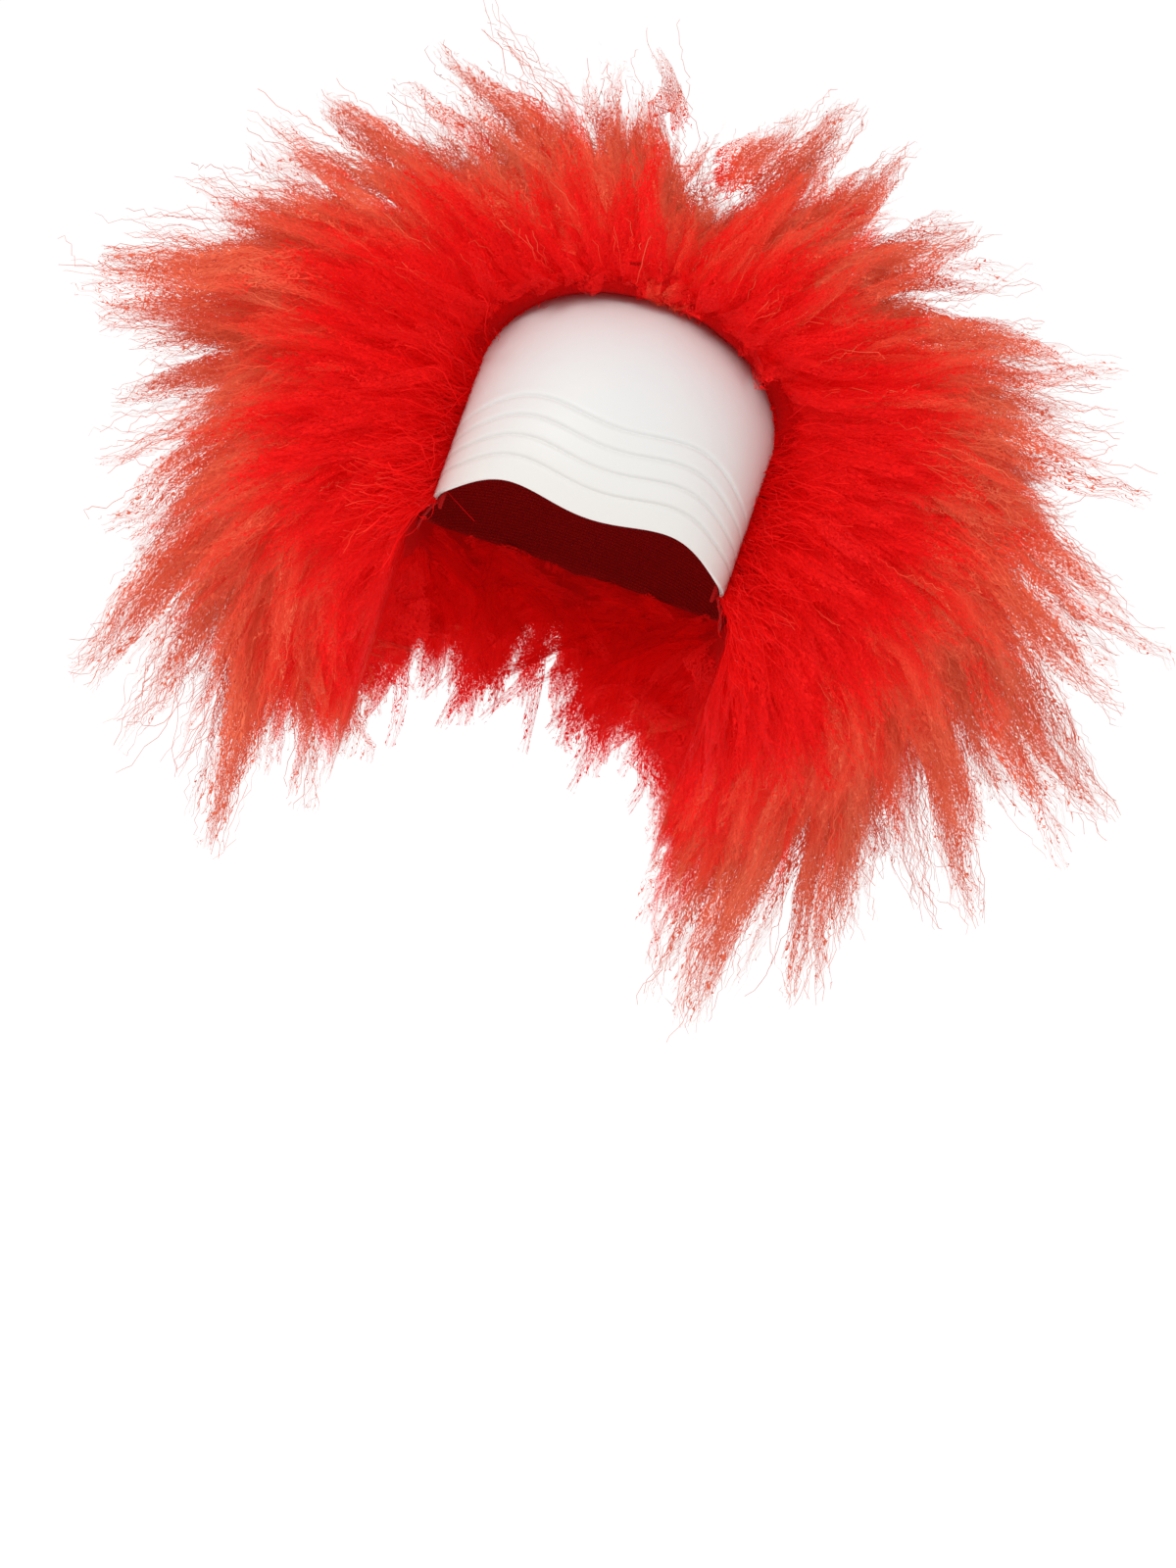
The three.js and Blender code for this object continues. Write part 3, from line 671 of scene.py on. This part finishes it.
def lock_places():
    """Roots' and tips' directions, reaches and widths of all the locks, as in the part."""
    clock, reach, sag, width = OUTLINE_LOCKS.T
    polar = outline_polar(clock)
    roots = [towards((clock - sag) * ROOT_SHARE, polar - 4)]
    tips = [towards(clock, polar)]
    reaches = [reach * HAIR_REACH]
    widths = [width * LOCK_WIDTH]
    for behind, turn, share, lean, count, wide in LOCK_RINGS:
        clock = lerp(-turn, turn, (np.arange(count) + 0.5) / count)
        wobble = np.sin(clock * 2.4 + behind * 100)
        polar = lerp(front_polar(clock), 180, behind)
        roots.append(towards(clock * 0.97, polar - lean))
        tips.append(towards(clock + 4 * wobble, polar + 4 * wobble) + BACK_DROOP * behind)
        swell = rounded(outline_reach(clock), HAIR_BACK, polar)
        reaches.append(share * swell * (1 + 0.06 * wobble))
        widths.append(np.full(count, wide * LOCK_WIDTH))
    return [np.concatenate(rows) for rows in (roots, tips, reaches, widths)]


def scalp_points(count):
    """Points spread evenly over the cap."""
    k = np.linspace(-1, 1, 121)
    share = np.linspace(0.004, 1, 61)
    grid_k, grid_share = np.meshgrid(k, share, indexing="ij")
    at = cap_at(grid_k, grid_share)
    area = np.linalg.norm(np.cross(at[1:, :-1] - at[:-1, :-1], at[:-1, 1:] - at[:-1, :-1]), axis=-1)
    cell = rng.choice(area.size, count, p=(area / area.sum()).ravel())
    i, j = np.unravel_index(cell, area.shape)
    own_k = k[i] + rng.random(count) * (k[1] - k[0])
    own_share = share[j] + rng.random(count) * (share[1] - share[0])
    return cap_at(own_k, own_share)


OUTLINE_FULLNESS = 1.7  # strands of a lock of the outline, against those of another its size
FRONT_FULLNESS = 0.35  # single strands of a lock in front of the outline, in the same way
SCALP_POINTS = 6000
LOCK_ROOTS = 150  # how many of those points a lock's strands spring from


def share_out(count, root_way, width, reach, front):
    """Gives each strand a lock and a root on the cap near the lock's own root. Front is the share of
    their strands that the locks in front of the outline get."""
    scalp = scalp_points(SCALP_POINTS)
    near = unit(scalp) @ unit(root_way).T
    place = np.arange(len(reach)) - len(OUTLINE_LOCKS)
    fullness = np.where(place < 0, OUTLINE_FULLNESS, np.where(place < LOCK_RINGS[0][4], front, 1.0))
    weight = width * reach * fullness
    lock = np.sort(rng.choice(len(reach), count, p=weight / weight.sum()))
    order = np.argsort(-near, axis=0)
    pick = (rng.random(count) ** 0.8 * LOCK_ROOTS).astype(int)
    return lock, scalp[order[pick, lock]]


def bezier(p0, p1, p2, p3, t):
    t = t[..., None]
    p0, p1, p2, p3 = (p[:, None, :] for p in (p0, p1, p2, p3))
    return (1 - t) ** 3 * p0 + 3 * (1 - t) ** 2 * t * p1 + 3 * (1 - t) * t**2 * p2 + t**3 * p3


SUB_LOCKS = 9  # small locks that each lock ends in
SUB_SPREAD = 0.62  # how far they fan out, of the lock's width
SUB_REACH = (0.72, 1.05)  # how far the shortest and the longest reach, of the lock's reach
MIDDLE_REACH = 1.04
LOCK_SEED = 7
ROOT_FAN = 3.2  # a strand's place among its lock's small ones, for its root's place beside the lock's


def strand_paths(count, points, starts, lengths, crimp, stray, front):
    """Centre lines of strands, smooth and crimped, with each one's section."""
    root_way, tip_way, reach, width = lock_places()
    lock, root = share_out(count, root_way, width, reach, front)
    way = unit(root)

    # Each lock ends in a few thinner ones, and a strand joins the one nearest its own root
    locks = len(reach)
    own = np.random.default_rng(LOCK_SEED)
    lead = unit(1.6 * unit(tip_way) - 0.6 * root_way)
    side = unit(np.cross(lead, (0.0, 1.0, 0.02)))
    lift = np.cross(side, lead)
    turns = own.random((locks, SUB_LOCKS)) * 2 * np.pi
    fan = np.sqrt(own.random((locks, SUB_LOCKS)))
    sub_side, sub_lift = fan * np.cos(turns), fan * np.sin(turns)
    sub_reach = lerp(*SUB_REACH, own.random((locks, SUB_LOCKS)) ** 0.8)
    sub_reach[:, 0] = MIDDLE_REACH
    sub_side[:, 0] *= 0.3
    sub_lift[:, 0] *= 0.3
    own_side = np.sum((way - root_way[lock]) * side[lock], axis=-1) * ROOT_FAN
    own_lift = np.sum((way - root_way[lock]) * lift[lock], axis=-1) * ROOT_FAN
    noise = rng.normal(0, 0.45, (2, count))
    far = (sub_side[lock] - (own_side + noise[0])[:, None]) ** 2
    far += (sub_lift[lock] - (own_lift + noise[1])[:, None]) ** 2
    sub = np.argmin(far, axis=1)

    spread = width[lock] * SUB_SPREAD
    tip = unit(tip_way[lock]) * (reach[lock] * sub_reach[lock, sub])[:, None]
    ragged = rng.normal(0, 3.2 + 5.0 * stray, (2, count))
    tip = tip + side[lock] * (sub_side[lock, sub] * spread + ragged[0])[:, None]
    tip = tip + lift[lock] * (sub_lift[lock, sub] * spread + ragged[1])[:, None]
    length = np.linalg.norm(tip - root, axis=-1, keepdims=True)
    start = unit(0.65 * way + 0.35 * root_way[lock] + rng.normal(0, 0.12 + 0.2 * stray, (count, 3)))
    finish = unit(lead[lock] + rng.normal(0, 0.10 + 0.3 * stray, (count, 3)))
    begin = rng.uniform(*starts, count)[:, None]
    share = lerp(lengths[1], lengths[0], rng.random(count) ** 1.7)[:, None]
    t = lerp(begin, share, np.linspace(0, 1, points)[None, :])
    path = bezier(root - way, root + start * length * 0.36, tip - finish * length * 0.30, tip, t)

    # Slow waves and the crimp
    across = unit(rng.normal(0, 1, (2, count, 1, 3)))
    run = t * length
    for axis, size, wave in ((0, 2.6, 62.0), (1, 1.6, 27.0)):
        phase = rng.random((count, 1)) * 2 * np.pi
        speed = 2 * np.pi / (wave * rng.uniform(0.7, 1.4, (count, 1)))
        swing = np.sin(run * speed + phase) * size * (1 + 1.5 * stray)
        path = path + across[axis] * swing[..., None] * t[..., None]
    smooth_path = path
    return keep_off(crimped(path, crimp)), smooth_path, section_of(root_way[lock])


def crimped(path, size):
    """Paths with an uneven zigzag."""
    count, points, _ = path.shape
    kink = unit(rng.normal(0, 1, (count, points, 3)) + unit(rng.normal(0, 1, (count, 1, 3))) * 1.2)
    zig = np.where(np.arange(points) % 2 == 0, 1.0, -1.0)[None, :, None]
    return path + kink * zig * rng.uniform(0.5, 1.3, (count, points, 1)) * size


def section_of(way):
    """0 crown, 1 left, 2 right, 3 back, by the direction of a lock's root."""
    crown = way[:, 2] > CROWN_SHARE * np.abs(way[:, 0])
    sides = np.where(crown, 0, np.where(way[:, 0] > 0, 1, 2))
    return np.where(way[:, 1] >= BACK_SHARE, 3, sides)


def ribbons(path, smooth_path, facing, width, tip_width):
    """Corner points of one flat strip for each path, as strip, point, edge, place."""
    count, points, _ = path.shape
    side = unit(np.cross(unit(np.gradient(smooth_path, axis=1)), facing[:, None, :]))
    t = np.linspace(0, 1, points)[None, :, None]
    wide = lerp(width, tip_width, t**1.5) * rng.uniform(0.7, 1.3, (count, 1, 1))
    return np.stack((path - side * wide / 2, path + side * wide / 2), axis=2)


def ribbon_mesh(name, corners, tile, tiles, along):
    """One mesh of all the strips. Each takes one tile of the UV map's width."""
    count, points = corners.shape[:2]
    mesh = bpy.data.meshes.new(name)
    mesh.vertices.add(count * points * 2)
    mesh.vertices.foreach_set("co", (corners * MM).astype(np.float32).ravel())
    first = (np.arange(count)[:, None] * points + np.arange(points - 1)[None, :]) * 2
    quads = np.stack((first, first + 1, first + 3, first + 2), axis=-1).reshape(-1, 4)
    mesh.loops.add(quads.size)
    mesh.loops.foreach_set("vertex_index", quads.ravel().astype(np.int32))
    mesh.polygons.add(len(quads))
    mesh.polygons.foreach_set("loop_start", np.arange(0, quads.size, 4, dtype=np.int32))
    mesh.polygons.foreach_set("use_smooth", np.ones(len(quads), dtype=bool))
    swapped = rng.random((count, 1, 1)) < 0.5
    edges = tile[:, None, None] + np.where(swapped, (0.04, 0.96), (0.96, 0.04))
    u = np.broadcast_to(edges / tiles, (count, points, 2))
    v = np.broadcast_to(np.clip(along, 0.001, 0.999)[..., None], (count, points, 2))
    spots = np.stack((u, v), axis=-1).reshape(-1, 2)
    layer = mesh.uv_layers.new(name="OFBake")
    layer.data.foreach_set("uv", spots[quads.ravel()].astype(np.float32).ravel())
    mesh.update(calc_edges=True)
    piece = bpy.data.objects.new(name, mesh)
    bpy.context.collection.objects.link(piece)
    return piece


# Strands of the locks: how many, points along each, shares of the lock's length where they start
# and end, crimp, stray, width at the start and the tip, and whether each shows many fibres
LOCK_STRANDS = (
    ("fine", 7400, 24, (0.32, 0.64), (0.68, 1.0), 1.5, 0.14, 0.28, 0.18, False),
    ("tips", 1500, 12, (0.34, 0.60), (0.78, 1.0), 0.6, 0.16, 12.0, 7.0, True),
    ("flyaway", 500, 32, (0.3, 0.5), (0.85, 1.03), 1.3, 0.8, 0.30, 0.22, False),
)

# Strands that lie on the mass: how many, points, shortest and longest, crimp, stray, width at the
# start and the tip, and whether each shows many fibres
MASS_STRANDS = (
    ("fluff", 17500, 7, (30, 74), 0.5, 0.22, 8.5, 6.0, True),
    ("cover", 9500, 11, (16, 46), 1.1, 0.36, 0.30, 0.20, False),
)


def lay_strands(kind, corners, tile, tiles, along, section, paint):
    """One piece of strands for each section of the hair that has any."""
    for number, name in enumerate(SECTION_NAMES):
        mine = section == number
        if not mine.any():
            continue
        piece = ribbon_mesh(f"{name}_{kind}", corners[mine], tile[mine], tiles, along[mine])
        dress(piece, paint, "hair_red")
        print(piece.name, len(corners[mine]), "strands,", len(piece.data.polygons) * 2, "triangles")


def make_strands(mass):
    """All the single fibres and strips, on the locks, on the mass and round the rim."""
    single = hair_single()
    for kind, count, points, starts, lengths, crimp, stray, width, tips, many in LOCK_STRANDS:
        front = 0 if many else FRONT_FULLNESS
        path, smooth_path, section = strand_paths(count, points, starts, lengths, crimp, stray, front)
        facing = unit(unit(path.mean(axis=1)) * 0.4 + (0, -0.8, 0.3) + rng.normal(0, 0.4, (count, 3)))
        corners = keep_off(ribbons(path, smooth_path, facing, width, tips))
        if many:
            paint, tile, tiles = hair_fluff("hair_tips", 0.32, 1.0), rng.integers(0, BANDS, count), BANDS
            along = np.broadcast_to(np.linspace(0, 1, points), (count, points))
        else:
            paint, tile, tiles = single, rng.integers(0, TONES, count), TONES
            along = outward_place(path)
        lay_strands(kind, corners, tile, tiles, along, section, paint)
    fluff = hair_fluff("hair_fluff", None, None)
    for kind, count, points, lengths, crimp, stray, width, tips, many in MASS_STRANDS:
        paint = fluff if many else single
        cover_mass(mass, kind, count, points, lengths, crimp, stray, (width, tips), paint)
    make_fringe(single)


def surface_roots(piece, count):
    """Points spread evenly over a piece's outer surface, with its normals there."""
    mesh = piece.data
    mesh.calc_loop_triangles()
    flat = np.empty(len(mesh.loop_triangles) * 3, dtype=np.int32)
    mesh.loop_triangles.foreach_get("vertices", flat)
    corners = (read_points(piece) / MM)[flat.reshape(-1, 3)]
    over = np.cross(corners[:, 1] - corners[:, 0], corners[:, 2] - corners[:, 0])
    middle = corners.mean(axis=1)
    area = np.linalg.norm(over, axis=-1)
    normal = unit(over)
    outward = np.sum(normal * unit(middle), axis=-1)
    above = np.linalg.norm(middle, axis=-1) - cap_radius(unit(middle))
    hollow = (outward < -0.3) & (above < 8) & ~below_hem(unit(middle))
    by_rim = smooth(-normal[:, 1], 0.1, 0.5) * (1 - smooth(above, 12, 34)) * (middle[:, 2] > -40)
    weight = area * np.where(hollow, 0, 1) * lerp(1.0, 1.5, normal[:, 1] < -0.2) * (1 + 2.5 * by_rim)
    triangle = rng.choice(len(area), count, p=weight / weight.sum())
    a, b = rng.random((2, count, 1))
    a, b = np.where(a + b > 1, 1 - a, a), np.where(a + b > 1, 1 - b, b)
    own = corners[triangle]
    root = own[:, 0] + (own[:, 1] - own[:, 0]) * a + (own[:, 2] - own[:, 0]) * b
    return root, normal[triangle]


STATIONS = 10


def lock_axes():
    """Points along the middle of each lock, with the locks' tips and reaches."""
    root_way, tip_way, reach, _ = lock_places()
    head = root_way * (cap_radius(root_way) + 4)[:, None]
    tips = unit(tip_way) * reach[:, None]
    bend = (reach * 0.28)[:, None]
    stations = np.broadcast_to(np.linspace(0.05, 0.95, STATIONS), (len(reach), STATIONS))
    return bezier(head, head + root_way * bend, tips - unit(tips - head) * bend, tips, stations), tips, reach


def nearest_station(points, axis):
    """The number of the nearest of the axes' points to each point."""
    tree = KDTree(len(axis))
    for number, place in enumerate(axis):
        tree.insert(place, number)
    tree.balance()
    return np.array([tree.find(place)[1] for place in points])


def cover_mass(mass, kind, count, points, lengths, crimp, stray, widths, paint):
    """Strands that lie along the mass. Those in front follow the outline's locks, seen from the
    front, and the rest the nearest lock."""
    root, normal = surface_roots(mass, count)
    axis, tips, reach = lock_axes()
    run = unit(np.gradient(axis, axis=1)).reshape(-1, 3)
    flat, outline = axis.reshape(-1, 3), len(OUTLINE_LOCKS) * STATIONS
    ahead = (normal[:, 1] < 0.3) & (root[:, 1] < 25)
    aside = (root + rng.normal(0, 7, (count, 3))) * (1, 0, 1)
    front = nearest_station(aside, flat[:outline] * (1, 0, 1))
    station = np.where(ahead, front, nearest_station(root, flat))
    lock = station // STATIONS
    to_tip = tips[lock] - root
    distance = np.linalg.norm(to_tip, axis=-1, keepdims=True)
    flow = unit(run[station] + unit(to_tip) * 0.5)
    flow = unit(flow - normal * np.minimum(0, np.sum(flow * normal, axis=-1, keepdims=True)))
    length = np.minimum(rng.uniform(*lengths, (count, 1)), distance * 0.85 + 14)
    start = unit(flow + normal * 0.5 + rng.normal(0, stray, (count, 3)))
    end = root + flow * length + normal * rng.uniform(0.5, 6.0, (count, 1))
    end = end + rng.normal(0, 1, (count, 3)) * length * stray * 0.4
    last = reach[lock] * lerp(0.60, 0.90, rng.random(count) ** 2.2)
    end = unit(end) * np.minimum(np.linalg.norm(end, axis=-1), last)[:, None]
    finish = unit(flow + rng.normal(0, stray, (count, 3)))
    t = np.broadcast_to(np.linspace(0, 1, points), (count, points))
    smooth_path = bezier(
        root - normal * 4, root + start * length * 0.33, end - finish * length * 0.3, end, t
    )
    path = keep_off(crimped(smooth_path, crimp))
    facing = unit(normal + rng.normal(0, 0.25, (count, 3)))
    corners = keep_off(ribbons(path, smooth_path, facing, *widths))
    stray_place = rng.normal(0, 0.04, count)
    if widths[0] > 1:
        place = outward_place(root) + stray_place
        tile, tiles, along = np.clip(place * BANDS, 0, BANDS - 2).astype(int), BANDS, t
    else:
        tile, tiles = rng.integers(0, TONES, count), TONES
        along = outward_place(path) + stray_place[:, None]
    lay_strands(kind, corners, tile, tiles, along, section_of(unit(axis[lock, 0])), paint)


def make_fringe(paint):
    """Short strands that spring from the cap's front edge, round the forehead's rim."""
    count, points = 3600, 8
    k, share = rng.uniform(-1, 1, count), rng.uniform(-0.01, 0.03, count)
    ends = np.arange(count) % 4 == 0
    k = np.where(ends, np.sign(k) * (1 - 0.04 * np.abs(k)), k)
    share = np.where(ends, rng.random(count), share)
    root = cap_at(k, share)
    way = unit(root)
    ahead = rng.uniform(-0.35, 0.15, count)[:, None] * (0, 1, 0)
    length = rng.uniform(16, 46, (count, 1))
    start = unit(way + ahead + rng.normal(0, 0.3, (count, 3)))
    end = root + unit(way + ahead + rng.normal(0, 0.25, (count, 3))) * length
    finish = unit(way + rng.normal(0, 0.4, (count, 3)))
    t = np.broadcast_to(np.linspace(0, 1, points), (count, points))
    smooth_path = bezier(root - way, root + start * length * 0.4, end - finish * length * 0.3, end, t)
    path = keep_off(crimped(smooth_path, 0.7), -7)
    facing = unit(way + (0, -1, 0) + rng.normal(0, 0.6, (count, 3)))
    corners = ribbons(path, smooth_path, facing, 0.42, 0.28)
    tile = rng.integers(0, TONES, count)
    lay_strands("fringe", corners, tile, TONES, outward_place(path), section_of(way), paint)


HEAD_ROUND = 2.6  # how square the forehead's outline is from the front
FACE_OPENS = (18, 46)  # depths below the centre between which the face's space gets its full width
FACE_BACK = 20  # how far back strands are moved out of it


def keep_off(path, above=1):
    """Moves points out of the head, off the forehead and out of the space for the face and neck."""
    way = unit(path)
    far = np.linalg.norm(path, axis=-1)
    least = cap_radius(way) + np.where(below_hem(way), -4, above)
    path = np.where((far < least)[..., None], way * least[..., None], path)
    x, y, z = np.moveaxis(path, -1, 0)
    rim = np.minimum(0, TEMPLE[0] + (z - TEMPLE[1]) * RIM_SLOPE[0] / RIM_SLOPE[1]) + 0.5
    wide, high = np.abs(x) / FOREHEAD_WIDTH * 2, np.maximum(z, 0) / CROWN_HEIGHT
    over = wide**HEAD_ROUND + high**HEAD_ROUND < 1
    y = np.where(over & (z > TEMPLE[1]), np.maximum(y, rim), y)
    low = smooth(-z, *FACE_OPENS)
    inside = (y < NECK_BACK) & (np.abs(x) < FACE_HALF)
    aside = np.where(x < 0, -1, 1) * lerp(np.abs(x), FACE_HALF, low)
    return join(np.where(inside & (y < FACE_BACK), aside, x), y, z)


def cut_space(piece):
    """Opens the mass for the face and neck, and for the head."""
    deselect()
    bpy.ops.mesh.primitive_cylinder_add(vertices=48, radius=1, depth=1)
    prism = bpy.context.object
    flat = read_points(prism)
    back = flat[:, 1] > 0
    flat[:, 0] *= FACE_HALF
    flat[:, 1] *= np.where(back, NECK_BACK, 400)
    flat[:, 2] = np.where(flat[:, 2] > 0, TEMPLE[1] - 6, -500)
    write_points(prism, flat * MM)
    modify(piece, "BOOLEAN", operation="DIFFERENCE", object=prism, solver="EXACT")
    bpy.data.objects.remove(prism)
    deselect()
    bpy.ops.mesh.primitive_uv_sphere_add(segments=64, ring_count=40)
    head = bpy.context.object
    way = unit(read_points(head))
    write_points(head, way * (cap_radius(way) + 0.5)[:, None] * MM)
    modify(piece, "BOOLEAN", operation="DIFFERENCE", object=head, solver="EXACT")
    bpy.data.objects.remove(head)


MASS_SHARE = 0.70  # how far the mass reaches, of the locks' reach


def make_mass():
    """The dense mass under the strands: the four sections' locks fused, rounded and drawn in."""
    deselect()
    for name in SECTION_NAMES:
        copy = bpy.data.objects.new("hair_mass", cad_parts[name].data.copy())
        bpy.context.collection.objects.link(copy)
        copy.select_set(True)
        bpy.context.view_layer.objects.active = copy
    bpy.ops.object.join()
    piece = bpy.context.object
    piece.name = "hair_mass"
    in_edit(piece, bpy.ops.mesh.remove_doubles)
    modify(piece, "REMESH", mode="VOXEL", voxel_size=3.5 * MM)
    modify(piece, "SMOOTH", factor=0.7, iterations=12)
    normal = np.empty(len(piece.data.vertices) * 3, dtype=np.float32)
    piece.data.vertex_normals.foreach_get("vector", normal)
    normal = normal.reshape(-1, 3)
    points = read_points(piece) / MM
    above = np.linalg.norm(points, axis=-1) - cap_radius(unit(points))
    by_rim = smooth(-normal[:, 1], 0.2, 0.6) * (1 - smooth(above, 8, 30))
    kept = smooth(-np.sum(normal * unit(points), axis=-1), 0.2, 0.6) * (1 - smooth(above, 4, 14))
    points = points - normal * (7 * (1 - 0.8 * by_rim) * (1 - kept))[:, None]
    way, far = unit(points), np.linalg.norm(points, axis=-1)
    clock = np.degrees(np.arctan2(way[:, 0], way[:, 2]))
    polar = np.degrees(np.arccos(np.clip(-way[:, 1], -1, 1)))
    limit = rounded(outline_reach(clock), HAIR_BACK, polar) * MASS_SHARE
    past = np.maximum(0, far - limit * 0.9)
    drawn = np.where(past > 0, limit * 0.9 + past * 0.25, far)
    write_points(piece, way * drawn[:, None] * MM)
    modify(piece, "REMESH", mode="VOXEL", voxel_size=4.5 * MM)
    cut_space(piece)
    use(piece)
    bpy.ops.object.shade_smooth()
    return dress(piece, hair_deep(), "hair_red", *SECTION_NAMES)


# Camera, light and floor
ROLL = math.radians(19)
ELEVATION = math.radians(16)
DISTANCE = 2.3
PIXELS_PER_METRE = 2360.0
ORIGIN_PIXEL = (619.5, 479.8)


def make_camera():
    ahead = Vector((0, math.cos(ELEVATION), -math.sin(ELEVATION)))
    up = Vector((0, math.sin(ELEVATION), math.cos(ELEVATION)))
    right = Vector((1, 0, 0))
    turned_right = right * math.cos(ROLL) + up * math.sin(ROLL)
    turned_up = up * math.cos(ROLL) - right * math.sin(ROLL)
    aim = turned_right * (600 - ORIGIN_PIXEL[0]) / PIXELS_PER_METRE
    aim += turned_up * (ORIGIN_PIXEL[1] - 800) / PIXELS_PER_METRE
    data = bpy.data.cameras.new("camera")
    data.sensor_width = 36
    data.lens = PIXELS_PER_METRE * DISTANCE * 36 / 1600
    camera = bpy.data.objects.new("camera", data)
    bpy.context.collection.objects.link(camera)
    columns = Matrix((turned_right, turned_up, -ahead)).transposed()
    camera.matrix_world = Matrix.Translation(aim - ahead * DISTANCE) @ columns.to_4x4()
    bpy.context.scene.camera = camera
    return turned_right, turned_up, ahead


def make_light(name, place, size, power, colour=(1, 1, 1)):
    data = bpy.data.lights.new(name, "AREA")
    data.shape = "DISK"
    data.size = size
    data.energy = power
    data.color = colour
    light = bpy.data.objects.new(name, data)
    bpy.context.collection.objects.link(light)
    light.location = place
    light.rotation_mode = "QUATERNION"
    light.rotation_quaternion = (-Vector(place)).to_track_quat("-Z", "Y")


def make_stage():
    right, up, ahead = make_camera()
    make_light("key", (right * -0.7 + up * 1.3 - ahead * 1.6), 1.1, 20)
    make_light("fill", (right * 1.4 + up * 0.3 - ahead * 1.5), 1.3, 8)
    make_light("top", (up * 1.6 + ahead * 0.8), 1.4, 12)
    scene = bpy.context.scene
    scene.cycles.transparent_max_bounces = 64
    scene.world = bpy.data.worlds.new("studio")
    scene.world.use_nodes = True
    tree = scene.world.node_tree
    ground = tree.nodes["Background"]
    ground.inputs["Color"].default_value = (1, 1, 1, 1)
    ray = tree.nodes.new("ShaderNodeLightPath")
    level = tree.nodes.new("ShaderNodeMapRange")
    level.inputs["To Min"].default_value = 0.66
    level.inputs["To Max"].default_value = 1.0
    tree.links.new(ray.outputs["Is Camera Ray"], level.inputs["Value"])
    tree.links.new(level.outputs["Result"], ground.inputs["Strength"])
    scene.view_settings.view_transform = "Standard"
    deselect()
    bpy.ops.mesh.primitive_plane_add(size=60, location=(0, 0, -1.5))
    floor = bpy.context.object
    floor.name = "floor"
    pale = Paint("floor_pale")
    pale.surface(
        Base_Color=(0.9, 0.9, 0.9), Roughness=0.9, Emission_Color=(1, 1, 1), Emission_Strength=0.42
    )
    floor.data.materials.append(pale.material)


make_stage()
make_forehead()
make_cap()
make_strands(make_mass())
